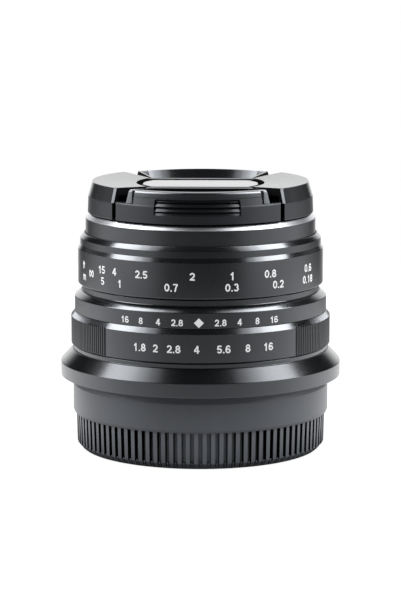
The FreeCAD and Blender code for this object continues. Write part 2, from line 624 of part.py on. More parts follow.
def radial_rod(name, radius, inner, outer, height):
    """A rod along +Y at a height above z = 0."""
    rod = doc.addObject("Part::Cylinder", name)
    rod.Placement = FreeCAD.Placement(Vector(0, 0, 0), FreeCAD.Rotation(Vector(1, 0, 0), -90))
    rod.setExpression("Radius", tied(radius))
    rod.setExpression("Height", tied(f"({outer}) - ({inner})"))
    rod.setExpression("Placement.Base.y", tied(inner))
    rod.setExpression("Placement.Base.z", tied(height))
    return rod


pin_hole = radial_rod("pin_hole", "pin_radius", "sleeve_radius - 1", "pin_seat_radius", pin_z)
piece(cut("aperture_drilled", aperture_turned, [pin_hole]), "aperture_ring")
piece(radial_rod("drive_pin", "pin_radius", "pin_tip_radius", "pin_seat_radius", pin_z), "aperture_drive_pin")

# Fixed index ring above the aperture ring
ring("index_ring", [
    ("guide_radius + cell_gap", sleeve_top),
    ("index_radius", sleeve_top),
    ("index_radius", index_top),
    ("index_bevel_radius", index_bevel_top),
    ("index_neck_radius", index_bevel_top),
    ("index_neck_radius", index_neck_top),
    ("guide_radius + cell_gap", index_neck_top),
])

# Guide barrel with two key slots, which keep the optical block from turning
guide_body = turned_body("guide_barrel_tube", [
    (guide_bore, guide_z),
    ("guide_radius", guide_z),
    ("guide_radius", guide_top),
    (guide_bore, guide_top),
])
doc.recompute()
pocket_row(guide_body, "key_slot", [
    ("tube_radius - 1", "-key_width / 2 - running_gap"),
    ("guide_radius + 1", "-key_width / 2 - running_gap"),
    ("guide_radius + 1", "key_width / 2 + running_gap"),
    ("tube_radius - 1", "key_width / 2 + running_gap"),
], f"{guide_z} - 1", "1 + key_length + 2 * focus_travel + 2 * key_margin", "2")
piece(guide_body, "guide_barrel")

# Retaining ring over the focus ring's lip; its gap is the run of the stop lug
retainer_full = turned("retainer_full", [
    ("guide_radius + retainer_fit", retainer_z),
    (f"{focus_bore} - running_gap", retainer_z),
    (f"{focus_bore} - running_gap", f"{retainer_z} + retainer_height"),
    ("guide_radius + retainer_fit", f"{retainer_z} + retainer_height"),
])
retainer_gap = sector("retainer_gap", "guide_radius - 1", "focus_radius", f"{retainer_z} - 1",
                      f"{retainer_z} + retainer_height + 1",
                      "90 - focus_turn - stop_half_angle - stop_margin",
                      "2 * (focus_turn + stop_half_angle + stop_margin)")
piece(cut("retainer_open", retainer_full, [retainer_gap]), "focus_retaining_ring")

# Focus ring: scale band, stepped top, inward lip and stop lug
focus_turned = turned("focus_turned", [
    ("guide_radius + running_gap", focus_lip_z),
    ("index_neck_radius - focus_lip_step", focus_lip_z),
    ("index_neck_radius - focus_lip_step", focus_z),
    ("focus_radius - focus_foot_bevel", focus_z),
    ("focus_radius", f"{focus_z} + focus_foot_bevel"),
    ("focus_radius", focus_band_top),
    ("focus_step_radius", focus_step_z),
    ("focus_step_radius", focus_step_top),
    ("focus_top_radius", focus_top),
    (focus_bore, focus_top),
    (focus_bore, focus_lip_top),
    ("guide_radius + running_gap", focus_lip_top),
])
stop_lug = sector("stop_lug", "guide_radius + running_gap", f"{focus_bore} + 0.3", focus_lip_top,
                  f"{retainer_z} + retainer_height", "90 - stop_half_angle", "2 * stop_half_angle")
piece(join("focus_joined", [focus_turned, stop_lug]), "focus_ring")

# Front barrel with the filter thread bore and the inner web that carries the cells
ring("front_barrel", [
    ("tube_radius + seat_gap", front_z),
    ("front_radius", front_z),
    ("front_radius", f"{front_top} - front_bevel"),
    ("front_edge_radius", front_top),
    ("thread_radius", front_top),
    ("thread_radius", front_ledge),
    ("front_web_bore", front_ledge),
    ("front_web_bore", front_web_z),
    ("tube_radius + seat_gap", front_web_z),
])
ring("optics_tube", [
    ("tube_bore", tube_z),
    ("tube_radius", tube_z),
    ("tube_radius", front_web_z),
    ("tube_bore", front_web_z),
])

# Guide keys on the optical tube
keys = []
for number in (0, 1):
    key = box(f"key_{number}", "tube_radius", "tube_radius + key_height", "-key_width / 2", "key_width / 2",
              key_z, f"{key_z} + key_length")
    keys.append(spin_copy(f"key_copy_{number}", key, 180 * number))
key_set = doc.addObject("Part::Compound", "key_set")
key_set.Links = keys
piece(key_set, "guide_keys")

# Glass: each element is a cylinder between two spherical surfaces
third_top = f"({iris_z} - third_drop)"
third_bottom = f"({third_top} - third_thickness)"
third_edge = f"({third_top} + {sag('third_front', 'rear_radius')})"
fourth_bottom = f"({third_bottom} - fourth_thickness)"
fifth_top = f"({fourth_bottom} - middle_air)"
fifth_bottom = f"({fifth_top} - fifth_thickness)"
sixth_bottom = f"({fifth_bottom} - sixth_thickness)"
seventh_top = f"({sixth_bottom} - rear_air)"
seventh_bottom = f"({seventh_top} - seventh_thickness)"


def ball(name, radius, height):
    solid = doc.addObject("Part::Sphere", name)
    solid.setExpression("Radius", tied(radius))
    solid.setExpression("Placement.Base.z", tied(height))
    return solid


def element(label, edge, top, bottom, front, back):
    """A glass element; a curve is (radius, +1 bulging towards the front, -1 towards the rear)."""
    rod = cylinder(label + "_rod", edge, f"{bottom} - 6", f"{top} + 6")
    kept = [rod]
    removed = []
    for end, height, (curve, way), solid_way in (("front", top, front, 1), ("back", bottom, back, -1)):
        surface = ball(f"{label}_{end}", curve, f"{height} - ({way}) * {curve}")
        if way == solid_way:
            kept.append(surface)
        else:
            removed.append(surface)
    glass = meet(label + "_kept", kept) if len(kept) > 1 else rod
    if removed:
        glass = cut(label + "_glass", glass, removed)
    return glass


piece(element("element_4", "rear_radius", third_bottom, fourth_bottom, ("third_back", 1), ("fourth_back", -1)),
      "element_4")
piece(element("element_5", "rear_radius", fifth_top, fifth_bottom, ("fifth_front", 1), ("sixth_front", -1)),
      "element_5")
piece(element("element_7", "rear_radius", seventh_top, seventh_bottom, ("seventh_front", 1), ("seventh_back", -1)),
      "element_7")
piece(element("element_2", "second_radius", second_top, second_bottom, ("second_curve", 1), ("second_curve", -1)),
      "element_2")

# First element: convex front, deeply hollowed rear, flat seat round the hollow
first_rod = cylinder("first_rod", "first_radius", first_seat, f"{first_top} + 1")
first_front_ball = ball("first_front_ball", "first_front", f"{first_top} - first_front")
first_back_ball = ball("first_back_ball", "first_back", f"{first_bottom} - first_back")
piece(cut("first_glass", meet("first_kept", [first_rod, first_front_ball]), [first_back_ball]), "element_1")

# Third element: hollow on both sides; its rear fits the fourth element's front
third_rod = cylinder("third_rod", "rear_radius", f"{third_bottom} - {sag('third_back', 'rear_radius')}", third_edge)
third_front_ball = ball("third_front_ball", "third_front", f"{third_top} + third_front")
third_back_ball = ball("third_back_ball", "third_back", f"{third_bottom} - third_back")
piece(cut("third_glass", third_rod, [third_front_ball, third_back_ball]), "element_3")

# Sixth element: hollow front that fits the fifth element's rear, bulging rear
sixth_rod = cylinder("sixth_rod", "rear_radius", f"{sixth_bottom} - 1",
                     f"{fifth_bottom} + {sag('sixth_front', 'rear_radius')}")
sixth_front_ball = ball("sixth_front_ball", "sixth_front", f"{fifth_bottom} + sixth_front")
sixth_back_ball = ball("sixth_back_ball", "sixth_back", f"{sixth_bottom} + sixth_back")
piece(cut("sixth_glass", meet("sixth_kept", [sixth_rod, sixth_back_ball]), [sixth_front_ball]), "element_6")

# Front cell: seats for the first and second elements, hung under the front barrel's web
ring("front_cell", [
    ("second_radius - second_lip", front_cell_z),
    ("tube_bore - running_gap", front_cell_z),
    ("tube_bore - running_gap", front_web_z),
    ("front_web_bore - cell_gap", front_web_z),
    ("front_web_bore - cell_gap", f"{front_ledge} - seat_gap"),
    ("first_radius + cell_gap", f"{front_ledge} - seat_gap"),
    ("first_radius + cell_gap", first_seat),
    ("second_radius + cell_gap", first_seat),
    ("second_radius + cell_gap", second_seat),
    ("second_radius - second_lip", second_seat),
])
first_lip = f"({first_top} - {sag('first_front', 'first_radius - ring_hold')} + glass_fit)"
ring("front_retaining_ring", [
    ("first_radius - ring_hold", first_lip),
    ("first_radius", first_lip),
    ("first_radius", front_ledge),
    ("thread_radius - cell_gap", front_ledge),
    ("thread_radius - cell_gap", f"{front_ledge} + ring_top"),
    ("first_radius + window_step", f"{front_ledge} + ring_top"),
    ("first_radius - ring_hold", f"{front_ledge} - ring_top / 2"),
])

# Spacer between the first and second elements
second_lip_z = f"({second_top} - {second_lip_sag} + glass_fit)"
ring("front_spacer", [
    ("second_radius - second_lip", second_lip_z),
    ("second_radius", second_lip_z),
    ("second_radius", f"{first_seat} - glass_fit"),
    ("second_radius - second_lip", f"{first_seat} - glass_fit"),
])

# Rear cell with its flange under the diaphragm; the fork arm runs in a window of the flange
window_start = "90 - close_turn - slot_margin - 5.5"
window_sweep = "close_turn + open_turn + 2 * (slot_margin + 5.5)"
window_inner = "arm_radius - arm_thickness - 0.3"
rear_cell_z = f"({seventh_bottom} - cell_tail)"
cell_turned = turned("cell_turned", [
    ("rear_radius + cell_gap", rear_cell_z),
    ("cell_radius", rear_cell_z),
    ("cell_radius", tube_z),
    ("tube_bore - cell_gap", tube_z),
    ("tube_bore - cell_gap", iris_z),
    ("rear_clear", iris_z),
    ("rear_clear", f"{third_edge} + glass_fit"),
    ("rear_radius + cell_gap", f"{third_edge} + glass_fit"),
])
cell_window = sector("cell_window", window_inner, "tube_bore + 1", f"{tube_z} - 1", f"{iris_z} + 1",
                     window_start, window_sweep)
piece(cut("cell_open", cell_turned, [cell_window]), "rear_cell")
ring("middle_spacer", [
    ("rear_clear", f"{fifth_top} - {sag('fifth_front', 'rear_clear')} + glass_fit"),
    ("rear_radius", f"{fifth_top} - {sag('fifth_front', 'rear_clear')} + glass_fit"),
    ("rear_radius", f"{fourth_bottom} + {sag('fourth_back', 'rear_clear')} - glass_fit"),
    ("rear_clear", f"{fourth_bottom} + {sag('fourth_back', 'rear_clear')} - glass_fit"),
])
ring("rear_spacer", [
    ("rear_clear", f"{seventh_top} - {sag('seventh_front', 'rear_clear')} + glass_fit"),
    ("rear_radius", f"{seventh_top} - {sag('seventh_front', 'rear_clear')} + glass_fit"),
    ("rear_radius", f"{sixth_bottom} + {sag('sixth_back', 'rear_clear')} - glass_fit"),
    ("rear_clear", f"{sixth_bottom} + {sag('sixth_back', 'rear_clear')} - glass_fit"),
])
ring("rear_retaining_ring", [
    ("rear_clear", rear_cell_z),
    ("rear_radius", rear_cell_z),
    ("rear_radius", f"{seventh_bottom} + {sag('seventh_back', 'rear_clear')} - glass_fit"),
    ("rear_clear", f"{seventh_bottom} + {sag('seventh_back', 'rear_clear')} - glass_fit"),
])

# Diaphragm base with one pivot hole for each blade
base_turned = turned("base_turned", [
    ("base_bore", iris_z),
    ("tube_bore - cell_gap", iris_z),
    ("tube_bore - cell_gap", f"{iris_z} + base_thickness"),
    ("base_bore", f"{iris_z} + base_thickness"),
])
base_window = sector("base_window", window_inner, "tube_bore + 1", f"{iris_z} - 1",
                     f"{iris_z} + base_thickness + 1", window_start, window_sweep)
pivot_holes = []
for number in range(int(size("blade_count"))):
    turn = f"360 * {number} / blade_count"
    pivot_holes.append(cylinder(f"pivot_hole_{number}", "blade_pin_radius + blade_pin_gap", f"{iris_z} + blade_pin_floor",
                                f"{iris_z} + base_thickness + 1",
                                f"pivot_circle * cos({turn})", f"pivot_circle * sin({turn})"))
piece(cut("base_pierced", base_turned, [base_window] + pivot_holes), "iris_base")
doc.recompute()

# Diaphragm blades: one layer each, pivot pin down to the base, cam pin up into the cam ring
row = len(SIZES) + 1
for alias, text in (("blades_height", blades_z), ("diaphragm_height", iris_z)):
    sheet.set(f"B{row}", "=" + text)
    sheet.setAlias(f"B{row}", alias)
    row += 1
doc.recompute()
BLADES_Z = size("blades_height")
BLADE_RATIO = size("blade_turn") / (size("open_turn") + size("close_turn"))
PIVOT = Vector(size("pivot_circle"), 0, 0)


def turn_about(point, centre, degrees):
    angle = math.radians(degrees)
    dx = point.x - centre.x
    dy = point.y - centre.y
    return Vector(centre.x + dx * math.cos(angle) - dy * math.sin(angle),
                  centre.y + dx * math.sin(angle) + dy * math.cos(angle), point.z)


def polar(radius, degrees, z=0.0):
    angle = math.radians(degrees)
    return Vector(radius * math.cos(angle), radius * math.sin(angle), z)


def tail_angle():
    """Direction from pivot to cam pin when wide open; the pin's travel is then mostly radial."""
    return 90 + size("blade_turn") / 2


def blade_shape(number):
    """Blade with its pivot on +X, as it lies when wide open."""
    low = BLADES_Z + number * size("blade_pitch")
    thick = size("blade_thickness")
    span = size("blade_span")
    ear = size("blade_ear_radius")
    pivot_pin = size("blade_pin_radius")
    cam_pin = size("cam_pin_radius")
    half = size("tail_half_width")
    up = Vector(0, 0, 1)
    wide = Part.makeCylinder(size("blade_outer"), thick, Vector(0, 0, low), up, span)
    hole = Part.makeCylinder(size("blade_bore"), thick + 2, Vector(0, 0, low - 1))
    band = wide.cut(hole)
    band.rotate(Vector(0, 0, 0), up, -span)
    near = Vector(PIVOT.x, 0, low)
    far = near + polar(size("tail_length"), tail_angle())
    neck_root = size("blade_outer") - size("blade_root")
    neck = Part.makeBox(PIVOT.x - neck_root, 2 * ear, thick, Vector(neck_root, -ear, low))
    tail = Part.makeBox(size("tail_length"), 2 * half, thick, Vector(PIVOT.x, -half, low))
    tail.rotate(near, up, tail_angle())
    pivot_low = size("diaphragm_height") + size("blade_pin_floor") + size("seat_gap")
    pivot_stem = Part.makeCylinder(pivot_pin, low + thick - pivot_low, Vector(near.x, near.y, pivot_low))
    cam_high = BLADES_Z + size("blade_count") * size("blade_pitch") + size("seat_gap") + size("cam_thickness")
    cam_stem = Part.makeCylinder(cam_pin, cam_high - size("cam_pin_inset") - low, Vector(far.x, far.y, low))
    ears = [Part.makeCylinder(ear, thick, near), Part.makeCylinder(half, thick, far)]
    return band.multiFuse([neck, tail, pivot_stem, cam_stem] + ears).removeSplitter()


def blade_place(number):
    """Closed from wide open to the rest setting about its pivot, then turned to its own pivot."""
    up = Vector(0, 0, 1)
    closed = FreeCAD.Placement(Vector(0, 0, 0), FreeCAD.Rotation(up, -BLADE_RATIO * size("open_turn")), PIVOT)
    round_axis = FreeCAD.Rotation(up, 360.0 * number / size("blade_count"))
    return FreeCAD.Placement(Vector(0, 0, 0), round_axis).multiply(closed)


for number in range(int(size("blade_count"))):
    blade = doc.addObject("Part::Feature", f"blade_shape_{number + 1}")
    blade.Shape = blade_shape(number)
    blade.Placement = blade_place(number)
    piece(blade, f"iris_blade_{number + 1:02d}")

# Cam ring: a curved slot for each cam pin, and the fork arm that the drive pin turns
cam_ring_turned = sector("cam_ring_turned", "cam_bore", "cam_radius", cam_z, cam_top, "0", "360")
cam_bridge = box("cam_bridge", "-arm_width / 2", "arm_width / 2", "cam_radius - 0.6", "arm_radius", cam_z, cam_top)
fork_low = f"({pin_z} - focus_travel - pin_radius - fork_reach)"
fork_high = f"({pin_z} + focus_travel + pin_radius + fork_reach)"
cam_arm = box("cam_arm", "-arm_width / 2", "arm_width / 2", "arm_radius - arm_thickness", "arm_radius",
              fork_low, cam_top)
fork_gap = box("fork_gap", "-pin_radius - slide_gap / 2", "pin_radius + slide_gap / 2",
               "arm_radius - arm_thickness - 1", "arm_radius + 1", f"{fork_low} - 1", fork_high)
cam_plain = cut("cam_plain", join("cam_joined", [cam_ring_turned, cam_bridge, cam_arm]), [fork_gap])
doc.recompute()


def cam_spot(setting):
    """Cam pin in the cam ring's own frame, for the ring turned by a setting from wide open."""
    open_pin = PIVOT + polar(size("tail_length"), tail_angle())
    moved = turn_about(open_pin, PIVOT, -BLADE_RATIO * setting)
    return turn_about(moved, Vector(0, 0, 0), setting - size("open_turn"))


def cam_slot():
    """Slot swept by the cam pin from wide open to closed, with its clearance."""
    half = size("cam_pin_radius") + size("cam_pin_gap")
    whole = size("open_turn") + size("close_turn")
    spare = 0.5
    settings = [(whole + 2 * spare) * step / 14.0 - spare for step in range(15)]
    left = []
    right = []
    for setting in settings:
        here = cam_spot(setting)
        ahead = cam_spot(setting + 0.05).sub(cam_spot(setting - 0.05))
        ahead.normalize()
        aside = Vector(-ahead.y, ahead.x, 0)
        left.append(here + aside * half)
        right.append(here - aside * half)
    edges = []
    for points in (left, right):
        curve = Part.BSplineCurve()
        curve.interpolate(points)
        edges.append(curve.toShape())
    for setting, step, one, other in ((settings[0], -0.1, left[0], right[0]), (settings[-1], 0.1, left[-1], right[-1])):
        way = cam_spot(setting + step).sub(cam_spot(setting))
        way.normalize()
        edges.append(Part.Arc(one, cam_spot(setting) + way * half, other).toShape())
    face = Part.Face(Part.Wire(Part.__sortEdges__(edges)))
    slot = face.extrude(Vector(0, 0, size("cam_thickness") + 2))
    slot.translate(Vector(0, 0, cam_plain.Shape.BoundBox.ZMax - size("cam_thickness") - 1))
    return slot


cam_shape = cam_plain.Shape
for number in range(int(size("blade_count"))):
    slot = cam_slot()
    slot.rotate(Vector(0, 0, 0), Vector(0, 0, 1), 360.0 * number / size("blade_count"))
    cam_shape = cam_shape.cut(slot)
cam = doc.addObject("Part::Feature", "cam_ring")
cam.Shape = cam_shape
cam.Placement = FreeCAD.Placement()
piece(cam, "iris_cam_ring")

# Front cap: two wings, the bridge between them, a floor and the insert in the filter thread
hood_z = f"({front_top} + hood_gap)"
hood_fold_z = f"({hood_z} + hood_fold_height)"
hood_top = f"({hood_z} + hood_height)"
floor_top = f"({hood_z} + hood_floor)"
bar_top = f"({hood_top} - bar_drop)"
insert_radius = "(thread_radius - insert_gap)"
wings = []
for number in (0, 1):
    wing_ring = turned(f"wing_turned_{number}", [
        ("badge_shoulder - 2", f"{hood_top} - wing_dish - wing_top"),
        ("hood_fold_radius - hood_wall", f"{hood_top} - wing_top - 0.4"),
        ("hood_radius - hood_wall", f"{hood_z} + hood_floor"),
        (f"{insert_radius} - insert_wall", f"{hood_z} + hood_floor"),
        (f"{insert_radius} - insert_wall", f"{hood_z} - insert_depth"),
        (insert_radius, f"{hood_z} - insert_depth"),
        (insert_radius, hood_z),
        ("hood_radius", hood_z),
        ("hood_fold_radius", hood_fold_z),
        ("hood_rim_radius", hood_top),
        ("hood_rim_radius - hood_rim_width", hood_top),
        ("badge_shoulder - 2", f"{hood_top} - wing_dish"),
    ], f"{180 * number} - wing_half_angle", "2 * wing_half_angle")
    side = box(f"wing_side_{number}", "wing_edge", "hood_radius + 1", "-hood_radius", "hood_radius",
               f"{hood_z} - insert_depth - 1", f"{hood_top} + 1")
    middle = box(f"wing_middle_{number}", "badge_half_length - 4", "wing_edge + 0.5", "-hood_radius", "hood_radius",
                 f"{hood_z} + lever_shelf", f"{hood_top} + 1")
    keep = spin_copy(f"wing_keep_{number}", join(f"wing_space_{number}", [side, middle]), 180 * number)
    wings.append(meet(f"wing_{number}", [wing_ring, keep]))
disc_front = cylinder("disc_front", "hood_radius - lever_wall - 0.25", hood_z, floor_top, "0", "lever_travel")
disc_rear = cylinder("disc_rear", "hood_radius - lever_wall - 0.25", hood_z, floor_top, "0", "-lever_travel")
hood_disc = meet("hood_disc", [disc_front, disc_rear])
bar = box("bar", "-badge_half_length - badge_gap - 1", "badge_half_length + badge_gap + 1",
          "-bar_half_width", "bar_half_width", f"{floor_top} - 0.2", bar_top)


def badge_outline(grow):
    return [
        (f"badge_shoulder + ({grow}) * 0.5", f"badge_half_width + ({grow})"),
        (f"-badge_shoulder - ({grow}) * 0.5", f"badge_half_width + ({grow})"),
        (f"-badge_half_length - ({grow})", f"badge_end + ({grow}) * 0.4"),
        (f"-badge_half_length - ({grow})", f"-badge_end - ({grow}) * 0.4"),
        (f"-badge_shoulder - ({grow}) * 0.5", f"-badge_half_width - ({grow})"),
        (f"badge_shoulder + ({grow}) * 0.5", f"-badge_half_width - ({grow})"),
        (f"badge_half_length + ({grow})", f"-badge_end - ({grow}) * 0.4"),
        (f"badge_half_length + ({grow})", f"badge_end + ({grow}) * 0.4"),
    ]


def prism(name, corners, start, height):
    outline = doc.addObject("Sketcher::SketchObject", name + "_outline")
    close_outline(outline, corners)
    outline.setExpression("Placement.Base.z", tied(start))
    solid = doc.addObject("Part::Extrusion", name)
    solid.Base = outline
    solid.DirMode = "Custom"
    solid.Dir = Vector(0, 0, 1)
    solid.Solid = True
    solid.setExpression("LengthFwd", tied(height))
    return solid


badge_space = prism("badge_space", badge_outline("badge_gap"), bar_top, "3")
latch_spaces = []
for number in (0, 1):
    space = box(f"latch_space_{number}", "latch_radius - latch_thickness - lever_travel - 0.3", "hood_radius",
                "-latch_half_width - 1.6", "latch_half_width + 1.6", f"{hood_z} - insert_depth - 1",
                f"{floor_top} + 0.5")
    latch_spaces.append(spin_copy(f"latch_space_copy_{number}", space, 90 + 180 * number))
hood_whole = join("hood_whole", wings + [hood_disc, bar])
piece(cut("hood_cut", hood_whole, [badge_space] + latch_spaces), "front_cap")
piece(prism("badge", badge_outline("0"), bar_top, "badge_thickness"), "cap_centre_plate")

# Pinch levers: wide foot, raised wall, ridged grip, foot plate and latch with its claw
for label, turn in (("pinch_lever_front", 270), ("pinch_lever_rear", 90)):
    low_wall = turned(label + "_low", [
        ("hood_radius - lever_wall", floor_top + " + seat_gap"),
        ("hood_radius - lever_wall + 0.2", f"{hood_z} + seat_gap"),
        ("hood_radius", f"{hood_z} + seat_gap"),
        ("hood_fold_radius", hood_fold_z),
        ("hood_fold_radius - 0.1", f"{hood_z} + lever_shelf"),
        ("hood_radius - lever_wall", f"{hood_z} + lever_shelf"),
    ], "-60", "120")
    span = box(label + "_span", "0", "hood_radius + 1", "-wing_edge + slit", "wing_edge - slit",
               hood_z, f"{hood_top} + 1")
    foot_wall = meet(label + "_foot_wall", [low_wall, span])
    high_wall = turned(label + "_high", [
        ("hood_radius - lever_wall", f"{hood_z} + lever_shelf - 0.3"),
        ("hood_fold_radius - 0.1", f"{hood_z} + lever_shelf - 0.3"),
        ("hood_rim_radius + 0.15", f"{hood_top} - 0.35"),
        ("hood_rim_radius - 0.15", hood_top),
        ("hood_rim_radius - 0.9", hood_top),
    ], "-lever_half_angle", "2 * lever_half_angle")
    plate_block = box(label + "_plate_block", "lever_inner", "hood_radius", "-lever_foot_half",
                      "lever_foot_half", f"{floor_top} + seat_gap", f"{floor_top} + seat_gap + lever_foot")
    plate_round = cylinder(label + "_plate_round", "hood_radius - 0.4", floor_top, f"{floor_top} + 3")
    plate = meet(label + "_plate", [plate_block, plate_round])
    latch = box(label + "_latch", "latch_radius - latch_thickness", "latch_radius", "-latch_half_width",
                "latch_half_width", f"{hood_z} - insert_depth - 0.2", f"{floor_top} + seat_gap + 0.2")
    claw_ring = turned(label + "_claw_ring", [
        ("latch_radius - latch_thickness", f"{hood_z} - insert_depth - 0.2"),
        ("claw_radius - 0.3", f"{hood_z} - insert_depth - 0.2"),
        ("claw_radius", f"{hood_z} - insert_depth + 0.1"),
        ("claw_radius - 0.3", f"{hood_z} - insert_depth - 0.2 + claw_thickness"),
        ("latch_radius - latch_thickness", f"{hood_z} - insert_depth - 0.2 + claw_thickness"),
    ], "-20", "40")
    claw_span = box(label + "_claw_span", "latch_radius - latch_thickness", "claw_radius + 1",
                    "-latch_half_width", "latch_half_width", f"{hood_z} - insert_depth - 1", hood_z)
    claw = meet(label + "_claw", [claw_ring, claw_span])
    steps = [("hood_radius + 1", f"{hood_z} + grip_start"), ("hood_radius", f"{hood_z} + grip_start")]
    for ridge in (1, 2, 3):
        rise = f"{hood_z} + grip_start + {ridge} * grip_pitch"
        steps.append((f"hood_radius - {ridge} * grip_depth - 0.12", rise))
        steps.append((f"hood_radius - {ridge} * grip_depth + 0.1", rise + " + 0.01"))
    steps.append(("hood_radius - 3.6 * grip_depth", f"{hood_z} + grip_start + 3.5 * grip_pitch"))
    steps.append(("hood_radius + 1", f"{hood_z} + grip_start + 3.5 * grip_pitch"))
    grip = turned(label + "_grip", steps, "-grip_half_angle", "2 * grip_half_angle")
    blank = join(label + "_blank", [foot_wall, high_wall, plate, latch, claw])
    lever = cut(label + "_cut", blank, [grip])
    piece(spin_copy(label + "_set", lever, turn), label)

doc.recompute()

# Checks before anything is written
for thing in doc.Objects:
    if "Invalid" in thing.State or "Error" in thing.State:
        raise RuntimeError(f"{thing.Name} failed: {thing.State}")
labels = [thing.Label for thing in PIECES]
if len(set(labels)) != len(labels):
    raise RuntimeError("two sub-parts share a label")
for thing in PIECES:
    if thing.Shape.isNull() or not thing.Shape.isValid() or thing.Shape.Volume <= 0:
        raise RuntimeError(f"{thing.Label} has no valid shape")

os.makedirs("parts", exist_ok=True)
for thing in PIECES:
    thing.Shape.exportStep(f"parts/{thing.Label}.step")
    bounds = thing.Shape.BoundBox
    print(f"{thing.Label:22s} solids {len(thing.Shape.Solids):2d} volume {thing.Shape.Volume:10.3f} "
          f"z {bounds.ZMin:7.3f} to {bounds.ZMax:7.3f} x {bounds.XMin:7.3f} to {bounds.XMax:7.3f} "
          f"y {bounds.YMin:7.3f} to {bounds.YMax:7.3f}")
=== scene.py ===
import json
import math

import bmesh
import bpy
from bpy.props import FloatProperty, FloatVectorProperty, IntProperty, PointerProperty
from mathutils import Matrix, Vector


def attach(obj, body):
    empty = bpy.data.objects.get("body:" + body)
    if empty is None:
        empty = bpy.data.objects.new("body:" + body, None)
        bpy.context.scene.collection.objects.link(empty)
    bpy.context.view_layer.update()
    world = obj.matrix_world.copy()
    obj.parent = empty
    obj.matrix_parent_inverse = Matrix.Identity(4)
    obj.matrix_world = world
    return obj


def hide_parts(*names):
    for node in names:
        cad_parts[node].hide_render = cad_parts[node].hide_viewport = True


bl_info = {
    "name": "Compact prime lens",
    "version": (1, 0, 0),
    "blender": (4, 5, 0),
    "location": "View3D > Sidebar > Lens",
    "description": "Dresses a compact manual prime lens: turned rings, scales, glass, caps and finishes",
    "category": "Object",
}

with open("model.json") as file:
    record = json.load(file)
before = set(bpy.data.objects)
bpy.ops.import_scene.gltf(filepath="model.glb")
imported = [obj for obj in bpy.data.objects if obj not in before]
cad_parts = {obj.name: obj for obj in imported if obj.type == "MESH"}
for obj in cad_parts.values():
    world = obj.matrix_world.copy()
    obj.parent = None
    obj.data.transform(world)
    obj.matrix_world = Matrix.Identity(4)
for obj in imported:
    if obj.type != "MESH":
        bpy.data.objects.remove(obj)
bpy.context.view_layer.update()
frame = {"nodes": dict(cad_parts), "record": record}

MM = 0.001
FULL_TURN = 360.0
MERGE = 1e-7

# Angles between faces above which an edge is rounded, or stays sharp in the shading
TURNED_CORNER, MOULDED_CORNER, LEVER_CORNER = math.radians(20.0), math.radians(25.0), math.radians(12.0)
CREASE = math.radians(12.0)

# Upward share of the normals of the bevels that are turned last
TURNED_SLOPES = (0.25, 0.92)

# Finishes of the front cap's pieces after their slot's own, and their numbers on the mesh; the shadow one is a
# painted shade and the corner one a painted highlight
CAP_FINISHES = ("cap_top", "cap_wall", "groove", "cap_corner", "cap_edge", "cap_bowl", "cap_grip")
TOP, WALL, SHADOW, CORNER_HIGHLIGHT, EDGE, BOWL, GRIP = range(1, 8)

# Outlines of the turned rings as (radius, height) in millimetres
REAR_CAP_OUTLINE = [
    (0, 0), (25.6, 0), (25.75, 0.157), (26.84, 1.3), (27.06, 8.0), (27.47, 8.0), (27.67, 8.5), (27.67, 14.1),
    (27.2, 15.95), (24.9, 15.95), (24.9, 1.8), (0, 1.8),
]
BARREL_OUTLINE = [
    (28.05, 16.0), (30.3, 16.0), (30.3, 19.0), (27.8, 21.7), (27.5, 21.7), (27.5, 22.65), (26.9, 22.65),
    (26.9, 23.1), (26.2, 23.1), (26.2, 30.1), (24.05, 30.1), (24.05, 27.5), (23.4, 27.5), (23.4, 19.0),
    (20.8, 19.0), (20.8, 17.5), (28.05, 17.5),
]
APERTURE_OUTLINE = [
    (26.3, 23.2), (27.0, 22.9), (27.93, 22.9), (28.05, 23.02), (28.05, 28.93), (27.2, 30.0), (26.3, 30.0),
]
INDEX_OUTLINE = [
    (24.05, 30.1), (27.25, 30.1), (27.25, 33.35), (25.9, 34.51), (25.65, 34.51), (25.65, 35.76), (24.05, 35.76),
]
FOCUS_OUTLINE = [
    (24.1, 35.86), (25.35, 35.86), (25.35, 36.02), (26.28, 36.02), (26.48, 36.22), (26.48, 43.66), (26.0, 44.59),
    (26.0, 45.97), (25.2, 46.92), (24.9, 46.92), (24.9, 37.11), (24.1, 37.11),
]

# Lug on the focus ring that meets the stop: outline, steps, first angle and span in degrees
STOP_LUG = ([(24.1, 37.0), (25.2, 37.0), (25.2, 38.21), (24.1, 38.21)], 6, 177, 6)

# Front barrel: its outside, its inside, and the filter thread's crest, root, top and lowest height
FRONT_BARREL_OUTSIDE = [(22.87, 41.32), (24.82, 41.32), (24.82, 50.15), (23.9, 51.07), (23.15, 51.07)]
FRONT_BARREL_INSIDE = [(22.9, 46.97), (20.0, 46.97), (20.0, 45.27), (22.87, 45.27)]
THREAD_CREST, THREAD_ROOT, THREAD_TOP, THREAD_END = 22.9, 23.24, 50.75, 47.7

# Rear cap: columns of faces for a rib with its groove, and the groove's floor
RIB_COLUMNS, GROOVE_COLUMNS = 8, 4
GROOVE_FLOOR = 25.75
# Ticks at the feet of the ribs, and the tabs inside; spans and turn in degrees
TICK_OUTLINE = [(25.4, 0.2), (25.9, 0.2), (26.7, 1.15), (26.7, 1.5), (25.4, 1.5)]
TICK_SPAN = 0.7
TAB_OUTLINE = [(21.8, 13.0), (25.2, 13.0), (25.2, 14.2), (21.8, 14.2)]
TAB_COUNT, TAB_SPAN = 3, 48
REAR_CAP_TURN = -0.95

# Aperture ring: outer radius, and columns of faces for a tooth with its gap
APERTURE_RADIUS = 28.05
KNURL_COLUMNS = 4

